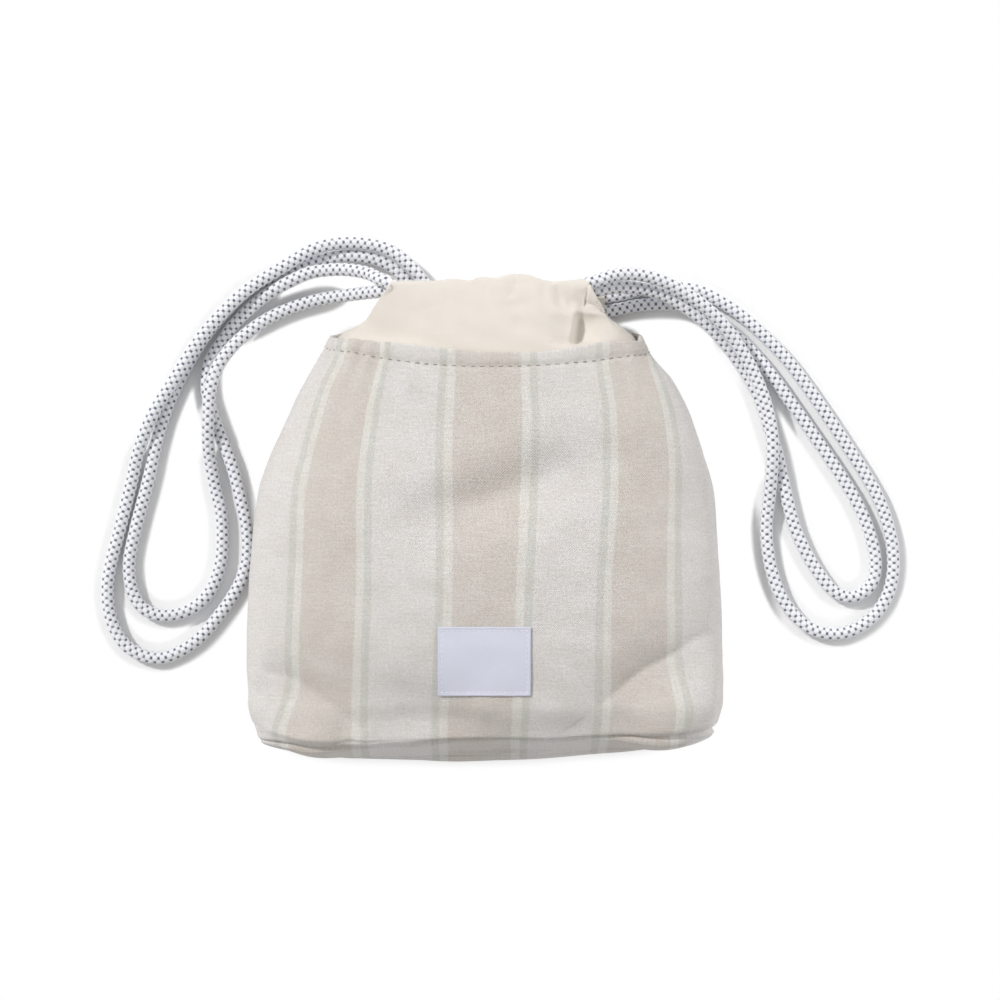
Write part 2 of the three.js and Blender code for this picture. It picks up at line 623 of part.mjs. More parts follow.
// The free route of each side of each cord ring, as a list chosen by hand: out of the back
// channel, round the loop on the surface, and up into the front channel.
const CORD_ROUTES = {
  outer_left: [
    [-13, 99.95, 4.5], [-20, 101.4, 4.6], [-26, 105.5, 5.2], [-32.3, 112.8, 6.6],
    [-38.6, 118.6, 7], [-45.4, 122.2, 6.8], [-52, 123.7, 6.6], [-59.1, 124.4, 6.5],
    [-67.1, 123.9, 7.2], [-76.9, 121.3, 8.6], [-89.6, 113.9, 9.3], [-106.2, 103.1, 9.7],
    [-117.7, 92.4, 9.8], [-126.5, 82.3, 9.8], [-140.4, 60.7, 9.7], [-147, 50.4, 9],
    [-151.8, 40.6, 7.4], [-155.8, 29.5, 5.2], [-158.2, 19.2, 3.7], [-163.6, -2.4, 3.3],
    [-168.4, -21.2, 3.3], [-169.5, -31.1, 3.3], [-168.6, -41, 3.3], [-165.7, -49.5, 3.3],
    [-160.3, -56.7, 3.3], [-152.6, -60.7, 3.3], [-144.6, -61.4, 3.3], [-135.8, -58, 3.3],
    [-128, -52.4, 3.3], [-120.3, -43.7, 3.3], [-112.7, -32.9, 3.3], [-108.4, -23.9, 3.3],
    [-106.6, -13.1, 3.3], [-107.5, -0.6, 3.3], [-110.7, 13.8, 3.3], [-113.8, 25.5, 3.3],
    [-117, 33.5, 3.3], [-120.8, 43.4, 3.3], [-123.9, 53.3, 3.3], [-125, 62.3, 3.3],
    [-124.1, 69.9, 3.3], [-119, 78.9, 3.3], [-111.3, 89.4, 3.6], [-101.6, 98.4, 5.2],
    [-93.8, 103.6, 7.4], [-86.4, 107.4, 9], [-78.6, 110.8, 9.4], [-70.6, 112, 10],
    [-61.5, 112, 12.4], [-52, 110, 16.8], [-46.4, 107, 21.4], [-42.6, 105.4, 23.6],
  ],
  inner_left: [
    [-13.5, 93.6, 4.5], [-22.5, 95.4, 4.4], [-29.5, 99.9, 4], [-35.5, 107.8, 3.4],
    [-40.8, 113.1, 3.3], [-46.6, 116.4, 3.3], [-52.3, 118, 3.3], [-60.6, 118.8, 3.3],
    [-67.4, 118.3, 3.3], [-75.9, 116.2, 3.3], [-83.1, 113.9, 3.3], [-89.4, 111, 3.3],
    [-97.8, 107.8, 3.3], [-106.8, 103.1, 3.3], [-117.9, 92.3, 3.3], [-126.2, 82, 3.3],
    [-133.3, 70.3, 3.3], [-139.2, 58.7, 3.3], [-144, 47, 3.3], [-147.8, 33.5, 3.3],
    [-151.1, 18.3, 3.3], [-156.7, -3.3, 3.3], [-159.6, -17.6, 3.3], [-159.4, -26.6, 3.3],
    [-157.4, -33.8, 3.3], [-153.5, -39.2, 3.3], [-147.7, -42.1, 3.3], [-140.5, -42.3, 3.3],
    [-133.3, -40.3, 3.3], [-126.6, -35.6, 3.3], [-122.1, -29.3, 3.3], [-119, -20.3, 3.3],
    [-117.9, -10.9, 3.3], [-118.5, 3.9, 3.3], [-120.8, 13.8, 3.4], [-122.8, 24.5, 4.8],
    [-123.9, 33.9, 7.2], [-123.7, 45, 9.7], [-122.8, 57.5, 9.9], [-119.7, 68.3, 9.6],
    [-113.2, 77.7, 8.4], [-107.5, 83.2, 6.8], [-96.9, 90.9, 4.2], [-84.6, 96.4, 3.3],
    [-72.7, 99.5, 4.3], [-61.7, 100.9, 8.3], [-52, 101.7, 13], [-46.4, 102, 16.4],
    [-42.2, 102, 18.1],
  ],
  outer_right: [
    [50.6, 99.95, 4.5], [56, 100.6, 4.3], [61.4, 101.6, 3.9], [67.7, 103.1, 3.5],
    [74.9, 104, 3.3], [83, 104.5, 3.3], [91.1, 104.2, 3.3], [98, 102.4, 3.3],
    [104.8, 98.8, 3.3], [113.5, 93.2, 3.3], [125.7, 82.5, 3.3], [136, 71.6, 3.3],
    [149.9, 52.4, 3.3], [160.7, 36.2, 3.3], [171, 20.1, 3.3], [176.8, 9.3, 3.3],
    [180.6, -1.5, 3.3], [182.9, -12.2, 3.3], [183.1, -23, 3.3], [180.9, -32.9, 3.3],
    [175.9, -41, 3.3], [169.2, -46.8, 3.3], [161.6, -50.2, 3.3], [153.5, -50.6, 3.3],
    [145.8, -48.2, 3.3], [139.6, -43.2, 3.3], [133.3, -34.7, 3.3], [128.8, -23, 3.3],
    [126.8, -12.2, 3.3], [126.3, -1.5, 3.3], [127.3, 9.3, 4.8], [128, 19.1, 7.4],
    [128.4, 29.4, 9.6], [128.2, 38.8, 9.9], [125.9, 50.4, 9.9], [121.5, 62.9, 9.9],
    [115.1, 74.9, 11], [107.3, 85.9, 13.5], [97.4, 95.5, 16], [88.8, 101.2, 17.4],
    [80.8, 105.6, 18.6], [72.3, 108.4, 19.6], [64.3, 109.4, 20.6], [56, 108.5, 21.9],
    [50.4, 106.4, 23.3], [46.4, 105.3, 23.7],
  ],
  inner_right: [
    [50.6, 93.6, 4.5], [56, 94.2, 4.3], [60.5, 94.9, 4], [67.7, 96.4, 3.5],
    [75.8, 97.1, 3.3], [83.9, 97.1, 3.3], [91.5, 96.2, 3.3], [97.8, 93.9, 3.3],
    [102.8, 90.8, 3.3], [108.6, 86.3, 3.3], [118, 77.8, 3.3], [126.5, 68.1, 3.3],
    [137.8, 52.4, 3.3], [149, 36.2, 3.3], [159.8, 20.1, 3.3], [166.3, 9.3, 3.3],
    [171.2, -1.5, 3.3], [174.4, -12.2, 3.3], [175.3, -21.2, 3.3], [173.4, -28.2, 3.3],
    [169.2, -32.5, 3.3], [162.9, -34.2, 3.3], [156.6, -31.7, 3.3], [149.9, -23.9, 3.3],
    [144.1, -14.5, 3.3], [139.1, -3.3, 3.3], [136, 8, 3.3], [133.5, 19.2, 3.3],
    [130.8, 30.8, 3.3], [127.4, 41.6, 3.3], [122.7, 56, 3.3], [116.2, 67.6, 3.6],
    [107.5, 79.2, 6.4], [98.7, 88.4, 9.4], [90.6, 94.6, 10.4], [82.1, 99.6, 11.2],
    [74.4, 102.4, 12.6], [64.5, 103.9, 15], [56, 103.4, 16.8], [50.4, 102.3, 18],
    [46.4, 102, 18.3],
  ],
};

// A stretch of a longer curve, between two distances along it.
class Stretch extends THREE.Curve {
  constructor(curve, from, to) {
    super();
    this.curve = curve;
    this.from = from;
    this.to = to;
    this.arcLengthDivisions = 400;
  }

  getPoint(t, target = new THREE.Vector3()) {
    return this.curve.getPointAt(lerp(this.from, this.to, t), target);
  }
}

// A round cord of real diameter along a stretch of a curve, cut square at both ends.
function cordGeometry(curve, from, to) {
  const section = new THREE.Shape();
  for (let i = 0; i < CORD_SIDES; i += 1) {
    const turn = (2 * Math.PI * (i + 0.5)) / CORD_SIDES;
    const x = cordRadius * Math.cos(turn);
    const y = cordRadius * Math.sin(turn);
    if (i === 0) section.moveTo(x, y);
    else section.lineTo(x, y);
  }
  section.closePath();
  const extrudePath = new Stretch(curve, from, to);
  const length = curve.getLength() * (to - from);
  const steps = Math.max(1, Math.ceil(length / CORD_STEP));
  return new THREE.ExtrudeGeometry(section, { extrudePath, steps });
}

// The share of a curve's length at which it first reaches a given x, searched from one end.
function shareAtX(curve, x, fromEnd) {
  const at = (share) => curve.getPointAt(fromEnd ? 1 - share : share).x;
  const startSide = Math.sign(at(0) - x);
  let high = 0;
  while (high < 1 && Math.sign(at(high) - x) === startSide) high += 0.002;
  let low = high - 0.002;
  for (let i = 0; i < 24; i += 1) {
    const middle = (low + high) / 2;
    if (Math.sign(at(middle) - x) === startSide) low = middle;
    else high = middle;
  }
  return fromEnd ? 1 - high : high;
}

// One side of one ring of cord: the tail in the back channel, the free loop and the tail in
// the front channel, cut where the loop lifts.
function addCordSide(ring, side, lines, ends) {
  const channelPoint = (x, [y, z]) => new THREE.Vector3(x, y, z);
  const inward = side === 'left' ? 1 : -1;
  const free = CORD_ROUTES[`${ring}_${side}`].map((point) => new THREE.Vector3(...point));
  const entry = (x, line, hand) => [
    channelPoint(x, line),
    channelPoint(lerp(x, hand.x, 0.5), line),
    channelPoint(hand.x + inward * CORD_LEAD_IN, line),
  ];
  const points = [
    ...entry(ends.back, lines.back, free[0]),
    ...free,
    ...entry(ends.front, lines.front, free[free.length - 1]).reverse(),
  ];
  const curve = new THREE.CatmullRomCurve3(points);
  curve.arcLengthDivisions = 1200;
  const hingeX = side === 'left' ? LEFT_HINGE_X : RIGHT_HINGE_X;
  const halfGap = CORD_END_GAP / 2 / curve.getLength();
  const backCut = shareAtX(curve, hingeX, false);
  const frontCut = shareAtX(curve, hingeX, true);
  const material = materials.cord;
  const pieces = {
    [`${ring}_tail_back_${side}`]: [0, backCut - halfGap],
    [`${ring}_loop_${side}`]: [backCut + halfGap, frontCut - halfGap],
    [`${ring}_tail_front_${side}`]: [frontCut + halfGap, 1],
  };
  for (const [name, [from, to]] of Object.entries(pieces)) {
    addPiece(name, cordGeometry(curve, from, to), material);
  }
}

// A straight stretch of cord that stays in its channel.
function straightCord(fromX, toX, [y, z]) {
  const start = new THREE.Vector3(fromX, y, z);
  return cordGeometry(new THREE.LineCurve3(start, new THREE.Vector3(toX, y, z)), 0, 1);
}

function addCords() {
  const lines = {
    outer: { back: outerBackLine, front: outerFrontLine },
    inner: { back: innerBackLine, front: innerFrontLine },
  };
  const ends = {
    left: { back: BACK_SPLICE.left - CORD_END_GAP, front: FRONT_RUN.left - CORD_END_GAP },
    right: { back: BACK_SPLICE.right + CORD_END_GAP, front: FRONT_RUN.right + CORD_END_GAP },
  };
  for (const ring of ['outer', 'inner']) {
    for (const side of ['left', 'right']) addCordSide(ring, side, lines[ring], ends[side]);
    const run = straightCord(FRONT_RUN.left, FRONT_RUN.right, lines[ring].front);
    addPiece(`${ring}_cord_front_run`, run, materials.cord);
    const splice = straightCord(BACK_SPLICE.left, BACK_SPLICE.right, lines[ring].back);
    addPiece(`${ring}_cord_splice`, splice, materials.splice);
  }
}

// Where each collar meets its channel, as the number of a point on the channel's outline.
const FRONT_JOIN_INDEX = 17;
const BACK_JOIN_INDEX = 12;

for (const side of ['front', 'back']) {
  addPanels(side);
  addHemThread(side);
}
addCollar('front', innerFrontLine, outerFrontLine, FRONT_CHANNEL, FRONT_JOIN_INDEX);
addCollar('back', innerBackLine, outerBackLine, BACK_CHANNEL, BACK_JOIN_INDEX);
addCasingThread('front', innerFrontLine, outerFrontLine, FRONT_CHANNEL, FRONT_JOIN_INDEX);
addCasingThread('back', innerBackLine, outerBackLine, BACK_CHANNEL, BACK_JOIN_INDEX);
addSeamThreads();
addCornerThreads();
addLabel();
addCords();

export default purse;
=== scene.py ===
"""A striped drawstring purse that lies on its back, with a gathered collar and two rings of cord."""
import math

import bpy
import numpy as np
from bpy.props import FloatProperty, FloatVectorProperty, IntProperty, PointerProperty
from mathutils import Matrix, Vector
from mathutils.bvhtree import BVHTree


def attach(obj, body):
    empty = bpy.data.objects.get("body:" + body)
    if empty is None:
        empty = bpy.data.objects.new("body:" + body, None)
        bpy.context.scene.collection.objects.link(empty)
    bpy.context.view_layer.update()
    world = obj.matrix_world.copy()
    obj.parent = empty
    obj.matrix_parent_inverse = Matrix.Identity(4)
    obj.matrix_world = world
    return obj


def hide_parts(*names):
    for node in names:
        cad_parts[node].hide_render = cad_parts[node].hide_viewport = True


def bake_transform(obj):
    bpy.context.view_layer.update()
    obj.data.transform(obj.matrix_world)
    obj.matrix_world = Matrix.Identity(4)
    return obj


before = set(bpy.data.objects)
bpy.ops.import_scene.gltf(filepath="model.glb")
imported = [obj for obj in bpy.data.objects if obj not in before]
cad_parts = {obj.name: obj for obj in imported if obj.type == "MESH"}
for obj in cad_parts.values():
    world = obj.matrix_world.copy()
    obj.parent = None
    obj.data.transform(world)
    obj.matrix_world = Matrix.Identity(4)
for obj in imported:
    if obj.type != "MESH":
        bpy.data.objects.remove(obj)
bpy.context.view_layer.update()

bl_info = {
    "name": "Drawstring purse",
    "version": (1, 0, 0),
    "blender": (4, 5, 0),
    "location": "3D View > Sidebar > Purse",
    "description": "Builds a striped cloth purse with a gathered collar and braided cords",
    "category": "Object",
}

# The camera, straight above the purse.
CAMERA_PLACE = (0.0067, 0.0093, 1.3)
CAMERA_LENS = 104.0
CAMERA_SENSOR = 36.0

# The bag's cross-sections: y at the side, half width, centre x, top, side height, top exponent,
# back lift, in metres.
SECTIONS = np.array([
    (-0.097, 0.1, 0.0002, 0.046, 0.02, 2.7, 0.0),
    (-0.081, 0.1048, 0.0, 0.0525, 0.02, 2.6, 0.0),
    (-0.053, 0.1054, 0.0, 0.0575, 0.02, 2.5, 0.0),
    (-0.008, 0.1034, 0.0002, 0.057, 0.019, 2.5, 0.0),
    (0.02, 0.0994, 0.0007, 0.0535, 0.0175, 2.4, 0.0),
    (0.052, 0.0864, 0.0016, 0.047, 0.0145, 2.35, 0.0004),
    (0.081, 0.0712, 0.0023, 0.042, 0.013, 2.3, 0.0015),
])
BASE_Y = -0.097
HEM_SIDE_Y = 0.081
BAG_LENGTH = HEM_SIDE_Y - BASE_Y
# The hem dips in the middle of the front and rises at the back. The back leans in near the base.
HEM_FRONT_DIP = 0.0075
HEM_BACK_RISE = 0.003
BASE_LEAN = 0.011
BASE_LEAN_END = 0.16
BASE_LEAN_ROUNDING = 0.45
# The base seam lies beyond the edge of the base, and comes back at its ends.
BASE_SEAM_HEIGHT = 0.022
BASE_SEAM_Y = -0.1052
BASE_SEAM_END_RISE = 0.0085
BASE_SEAM_SHARE = 0.96
BACK_EXPONENT = 4.0
FLOOR_PRESS = 0.0008
# How much the left and the right end of the hem are drawn in, as shares of the half width.
CORNER_TAPER = (0.002, 0.046)
CORNER_TAPER_START = 0.89
# How far the hem lies above its plain curve, as (x, rise of its stitches, rise of its edge).
HEM_WAVE = (
    (-0.0715, 0.003, 0.0004), (-0.059, 0.0038, 0.0034), (-0.049, 0.0022, 0.003),
    (-0.037, 0.001, 0.0027), (-0.0265, -0.0001, 0.0017), (-0.016, -0.0006, 0.0007),
    (-0.005, -0.001, -0.0002), (0.0058, -0.001, -0.0007), (0.017, -0.0007, -0.0008),
    (0.0275, -0.0004, -0.0004), (0.038, 0.0004, 0.0008), (0.049, 0.0007, 0.0024),
    (0.059, 0.0016, 0.0024), (0.068, 0.0014, 0.0006), (0.0735, 0.0003, -0.001),
)
HEM_WAVE_SOFTENING = (-0.003, 0.0, 0.003)
HEM_WAVE_START = 0.72
HEM_STITCH_SHARE = 0.962
# How far down the back the hem's wave still shows, as a share of the side's height.
BACK_WAVE_END = 0.5
# Corners drawn in, as (x, y, shift along x, shift along y, reach along x, reach along y).
CORNER_TUCKS = (
    (0.1, -0.102, -0.0018, 0.0045, 0.022, 0.02),
    (0.058, -0.106, 0.0, 0.0026, 0.028, 0.012),
)

# The thickness of each cloth, the gaps between them, the tucks and the grooves of the seams.
OUTER_CLOTH = 0.0012
HEM_CLOTH = 0.0024
LINING_GAP = 0.0018
LINING_HEM_GAP = 0.001
# Near the base the lining is drawn in towards a middle height by these shares of its size.
LINING_MIDDLE_HEIGHT = 0.026
LINING_BASE_SCALE = (0.955, 0.945, 0.84)
LINING_BASE_REACH = 0.05
LINING_CLOTH = 0.0006
# The collar is tucked this far down inside the hem, and the hem is turned and sewn this far down.
COLLAR_GAP = 0.003
COLLAR_CLOTH = 0.0008
HEM_TURN = 0.0105
HEM_STITCH_DROP = 0.0056
COLLAR_TUCK = 0.0112
SEAM_GROOVE_DEPTH = 0.0015
SEAM_GROOVE_WIDTH = 0.0022

# The width that the collar's weave is laid over.
COLLAR_WIDTH = 0.17

# The two cords in each channel, as (y, z) of the inner and the outer one.
CORD_DIAMETER = 0.006
FRONT_LINES = ((0.1008, 0.0183), (0.1022, 0.0245))
BACK_LINES = ((0.0936, 0.0045), (0.09995, 0.0045))
CORD_LEAD_IN = 0.004
CHANNEL_RADIUS = 0.0044
# The ends along x of the channels, and of the stretches of cord that stay inside them.
FRONT_CHANNEL = (-0.0415, 0.046)
BACK_CHANNEL = (-0.012, 0.0535)
FRONT_RUN = (-0.0127, 0.0177)
BACK_SPLICE = (0.0143, 0.0237)
CORD_END_GAP = 0.0003

# The free route of each side of each cord ring, from the back channel to the front channel.
CORD_ROUTES = {
    "outer_left": [
        (-0.013, 0.09995, 0.0045), (-0.02, 0.1014, 0.0046), (-0.026, 0.1055, 0.0052),
        (-0.0323, 0.1128, 0.0066), (-0.0386, 0.1186, 0.007), (-0.0454, 0.1222, 0.0068),
        (-0.052, 0.1237, 0.0066), (-0.0591, 0.1244, 0.0065), (-0.0671, 0.1239, 0.0072),
        (-0.0769, 0.1213, 0.0086), (-0.0896, 0.1139, 0.0093), (-0.1062, 0.1031, 0.0097),
        (-0.1177, 0.0924, 0.0098), (-0.1265, 0.0823, 0.0098), (-0.1404, 0.0607, 0.0097),
        (-0.147, 0.0504, 0.009), (-0.1518, 0.0406, 0.0074), (-0.1558, 0.0295, 0.0052),
        (-0.1582, 0.0192, 0.0037), (-0.1636, -0.0024, 0.0033), (-0.1684, -0.0212, 0.0033),
        (-0.1695, -0.0311, 0.0033), (-0.1686, -0.041, 0.0033), (-0.1657, -0.0495, 0.0033),
        (-0.1603, -0.0567, 0.0033), (-0.1526, -0.0607, 0.0033), (-0.1446, -0.0614, 0.0033),
        (-0.1358, -0.058, 0.0033), (-0.128, -0.0524, 0.0033), (-0.1203, -0.0437, 0.0033),
        (-0.1127, -0.0329, 0.0033), (-0.1084, -0.0239, 0.0033), (-0.1066, -0.0131, 0.0033),
        (-0.1075, -0.0006, 0.0033), (-0.1107, 0.0138, 0.0033), (-0.1138, 0.0255, 0.0033),
        (-0.117, 0.0335, 0.0033), (-0.1208, 0.0434, 0.0033), (-0.1239, 0.0533, 0.0033),
        (-0.125, 0.0623, 0.0033), (-0.1241, 0.0699, 0.0033), (-0.119, 0.0789, 0.0033),
        (-0.1113, 0.0894, 0.0036), (-0.1016, 0.0984, 0.0052), (-0.0938, 0.1036, 0.0074),
        (-0.0864, 0.1074, 0.009), (-0.0786, 0.1108, 0.0094), (-0.0706, 0.112, 0.01),
        (-0.0615, 0.112, 0.0124), (-0.052, 0.11, 0.0168), (-0.0464, 0.107, 0.0214),
        (-0.0426, 0.1054, 0.0236),
    ],
    "inner_left": [
        (-0.0135, 0.0936, 0.0045), (-0.0225, 0.0954, 0.0044), (-0.0295, 0.0999, 0.004),
        (-0.0355, 0.1078, 0.0034), (-0.0408, 0.1131, 0.0033), (-0.0466, 0.1164, 0.0033),
        (-0.0523, 0.118, 0.0033), (-0.0606, 0.1188, 0.0033), (-0.0674, 0.1183, 0.0033),
        (-0.0759, 0.1162, 0.0033), (-0.0831, 0.1139, 0.0033), (-0.0894, 0.111, 0.0033),
        (-0.0978, 0.1078, 0.0033), (-0.1068, 0.1031, 0.0033), (-0.1179, 0.0923, 0.0033),
        (-0.1262, 0.082, 0.0033), (-0.1333, 0.0703, 0.0033), (-0.1392, 0.0587, 0.0033),
        (-0.144, 0.047, 0.0033), (-0.1478, 0.0335, 0.0033), (-0.1511, 0.0183, 0.0033),
        (-0.1567, -0.0033, 0.0033), (-0.1596, -0.0176, 0.0033), (-0.1594, -0.0266, 0.0033),
        (-0.1574, -0.0338, 0.0033), (-0.1535, -0.0392, 0.0033), (-0.1477, -0.0421, 0.0033),
        (-0.1405, -0.0423, 0.0033), (-0.1333, -0.0403, 0.0033), (-0.1266, -0.0356, 0.0033),
        (-0.1221, -0.0293, 0.0033), (-0.119, -0.0203, 0.0033), (-0.1179, -0.0109, 0.0033),
        (-0.1185, 0.0039, 0.0033), (-0.1208, 0.0138, 0.0034), (-0.1228, 0.0245, 0.0048),
        (-0.1239, 0.0339, 0.0072), (-0.1237, 0.045, 0.0097), (-0.1228, 0.0575, 0.0099),
        (-0.1197, 0.0683, 0.0096), (-0.1132, 0.0777, 0.0084), (-0.1075, 0.0832, 0.0068),
        (-0.0969, 0.0909, 0.0042), (-0.0846, 0.0964, 0.0033), (-0.0727, 0.0995, 0.0043),
        (-0.0617, 0.1009, 0.0083), (-0.052, 0.1017, 0.013), (-0.0464, 0.102, 0.0164),
        (-0.0422, 0.102, 0.0181),
    ],
    "outer_right": [
        (0.0506, 0.09995, 0.0045), (0.056, 0.1006, 0.0043), (0.0614, 0.1016, 0.0039),
        (0.0677, 0.1031, 0.0035), (0.0749, 0.104, 0.0033), (0.083, 0.1045, 0.0033),
        (0.0911, 0.1042, 0.0033), (0.098, 0.1024, 0.0033), (0.1048, 0.0988, 0.0033),
        (0.1135, 0.0932, 0.0033), (0.1257, 0.0825, 0.0033), (0.136, 0.0716, 0.0033),
        (0.1499, 0.0524, 0.0033), (0.1607, 0.0362, 0.0033), (0.171, 0.0201, 0.0033),
        (0.1768, 0.0093, 0.0033), (0.1806, -0.0015, 0.0033), (0.1829, -0.0122, 0.0033),
        (0.1831, -0.023, 0.0033), (0.1809, -0.0329, 0.0033), (0.1759, -0.041, 0.0033),
        (0.1692, -0.0468, 0.0033), (0.1616, -0.0502, 0.0033), (0.1535, -0.0506, 0.0033),
        (0.1458, -0.0482, 0.0033), (0.1396, -0.0432, 0.0033), (0.1333, -0.0347, 0.0033),
        (0.1288, -0.023, 0.0033), (0.1268, -0.0122, 0.0033), (0.1263, -0.0015, 0.0033),
        (0.1273, 0.0093, 0.0048), (0.128, 0.0191, 0.0074), (0.1284, 0.0294, 0.0096),
        (0.1282, 0.0388, 0.0099), (0.1259, 0.0504, 0.0099), (0.1215, 0.0629, 0.0099),
        (0.1151, 0.0749, 0.011), (0.1073, 0.0859, 0.0135), (0.0974, 0.0955, 0.016),
        (0.0888, 0.1012, 0.0174), (0.0808, 0.1056, 0.0186), (0.0723, 0.1084, 0.0196),
        (0.0643, 0.1094, 0.0206), (0.056, 0.1085, 0.0219), (0.0504, 0.1064, 0.0233),
        (0.0464, 0.1053, 0.0237),
    ],
    "inner_right": [
        (0.0506, 0.0936, 0.0045), (0.056, 0.0942, 0.0043), (0.0605, 0.0949, 0.004),
        (0.0677, 0.0964, 0.0035), (0.0758, 0.0971, 0.0033), (0.0839, 0.0971, 0.0033),
        (0.0915, 0.0962, 0.0033), (0.0978, 0.0939, 0.0033), (0.1028, 0.0908, 0.0033),
        (0.1086, 0.0863, 0.0033), (0.118, 0.0778, 0.0033), (0.1265, 0.0681, 0.0033),
        (0.1378, 0.0524, 0.0033), (0.149, 0.0362, 0.0033), (0.1598, 0.0201, 0.0033),
        (0.1663, 0.0093, 0.0033), (0.1712, -0.0015, 0.0033), (0.1744, -0.0122, 0.0033),
        (0.1753, -0.0212, 0.0033), (0.1734, -0.0282, 0.0033), (0.1692, -0.0325, 0.0033),
        (0.1629, -0.0342, 0.0033), (0.1566, -0.0317, 0.0033), (0.1499, -0.0239, 0.0033),
        (0.1441, -0.0145, 0.0033), (0.1391, -0.0033, 0.0033), (0.136, 0.008, 0.0033),
        (0.1335, 0.0192, 0.0033), (0.1308, 0.0308, 0.0033), (0.1274, 0.0416, 0.0033),
        (0.1227, 0.056, 0.0033), (0.1162, 0.0676, 0.0036), (0.1075, 0.0792, 0.0064),
        (0.0987, 0.0884, 0.0094), (0.0906, 0.0946, 0.0104), (0.0821, 0.0996, 0.0112),
        (0.0744, 0.1024, 0.0126), (0.0645, 0.1039, 0.015), (0.056, 0.1034, 0.0168),
        (0.0504, 0.1023, 0.018), (0.0464, 0.102, 0.0183),
    ],
}
# Where each side of a ring ends in the back channel and in the front one.
CORD_ENDS = {
    "left": (BACK_SPLICE[0] - CORD_END_GAP, FRONT_RUN[0] - CORD_END_GAP),
    "right": (BACK_SPLICE[1] + CORD_END_GAP, FRONT_RUN[1] + CORD_END_GAP),
}


def linear(red, green, blue):
    """A colour given as 0 to 255 on screen, in the linear values that Blender uses."""
    shares = [channel / 255 for channel in (red, green, blue)]
    return [c / 12.92 if c <= 0.04045 else ((c + 0.055) / 1.055) ** 2.4 for c in shares]


def cloth_colour(name, description, red, green, blue):
    """A colour property with its default."""
    return FloatVectorProperty(
        name=name, description=description, default=linear(red, green, blue),
        subtype="COLOR", min=0.0, max=1.0,
    )


def length(name, description, default):
    """A length property, in metres."""
    return FloatProperty(name=name, description=description, default=default, unit="LENGTH", precision=5)


class PurseSizes(bpy.types.PropertyGroup):
    """Sizes of the purse's visible detail."""

    stripe_period: length("Stripe period", "Width after which the stripes repeat", 0.0708)
    beige_width: length("Beige stripe", "Width of the beige stripe", 0.0276)
    cream_width: length("Cream line", "Width of the cream line beside it", 0.0038)
    grey_width: length("Grey line", "Width of the grey-green line beside that", 0.0036)
    yarn_pitch: length("Yarn pitch", "Spacing of the yarns of the outer cloth", 0.00056)
    stitch_pitch: length("Stitch pitch", "Length of one top stitch and its gap", 0.0041)
    stitch_length: length("Stitch length", "Length of the thread that shows of a top stitch", 0.0019)
    thread_width: length("Thread width", "Thickness of the sewing thread", 0.00045)
    braid_pitch: length("Braid pitch", "Spacing of the flecks along the cord", 0.0033)
    braid_columns: IntProperty(
        name="Braid columns", description="Rows of flecks round the cord", default=8, min=4, max=16,
    )
    braid_relief: length("Braid relief", "How far the strands of the braid stand out", 0.0004)
    label_thickness: length("Label thickness", "Thickness of the woven label", 0.0006)


class PurseColours(bpy.types.PropertyGroup):
    """Colours of the purse."""

    plain_cloth: cloth_colour("Plain cloth", "Ground of the outer cloth", 216, 213, 211)
    beige_cloth: cloth_colour("Beige stripe", "Wide stripe of the outer cloth", 206, 200, 194)
    cream_line: cloth_colour("Cream line", "Thin cream stripe", 217, 215, 210)
    grey_line: cloth_colour("Grey line", "Thin grey-green stripe", 204, 203, 198)
    lining: cloth_colour("Lining", "Lining inside the bag", 232, 224, 212)
    collar: cloth_colour("Collar", "Gathered cotton collar", 226, 219, 210)
    label: cloth_colour("Label", "Woven label", 214, 216, 230)
    hem_thread: cloth_colour("Hem thread", "Top stitching of the hem", 160, 154, 144)
    label_thread: cloth_colour("Label thread", "Thread of the label", 236, 236, 246)
    cord: cloth_colour("Cord", "White strands of the cord", 243, 244, 249)
    cord_fleck: cloth_colour("Cord fleck", "Flecks of the cord", 98, 101, 116)
    floor: cloth_colour("Floor", "Surface that the purse lies on", 247, 247, 247)


# Curves and surfaces. A fold or crease fades out towards both ends of its path.
LEAST_LENGTH = 1e-12
LEAST_SPAN = 1e-6
ANGLE_STEPS = 201
FOLD_ENDS = (0.03, 0.97)
FOLD_FADE = 0.7
CREASE_ENDS = (0.02, 0.98)
CREASE_FADE = 0.6
CREASE_FLAT_WIDTH = 1.8


def unit(vectors):
    """The vectors with length 1."""
    return vectors / np.maximum(np.linalg.norm(vectors, axis=-1, keepdims=True), LEAST_LENGTH)


def lengths_along(points):
    """Distance from the first point along a row of points."""
    steps = np.linalg.norm(np.diff(points, axis=0), axis=1)
    return np.concatenate([[0.0], np.cumsum(steps)])


def spaced_line(points, count):
    """The same line with its points evenly spaced."""
    along = lengths_along(points)
    places = np.linspace(0, along[-1], count)
    return np.stack([np.interp(places, along, points[:, k]) for k in range(3)], axis=1)


def between(t, start, end, slope_in, slope_out):
    """The smooth value at a share t of the way from start to end, with the given slopes there."""
    return (
        (2 * t**3 - 3 * t**2 + 1) * start + (t**3 - 2 * t**2 + t) * slope_in
        + (3 * t**2 - 2 * t**3) * end + (t**3 - t**2) * slope_out
    )


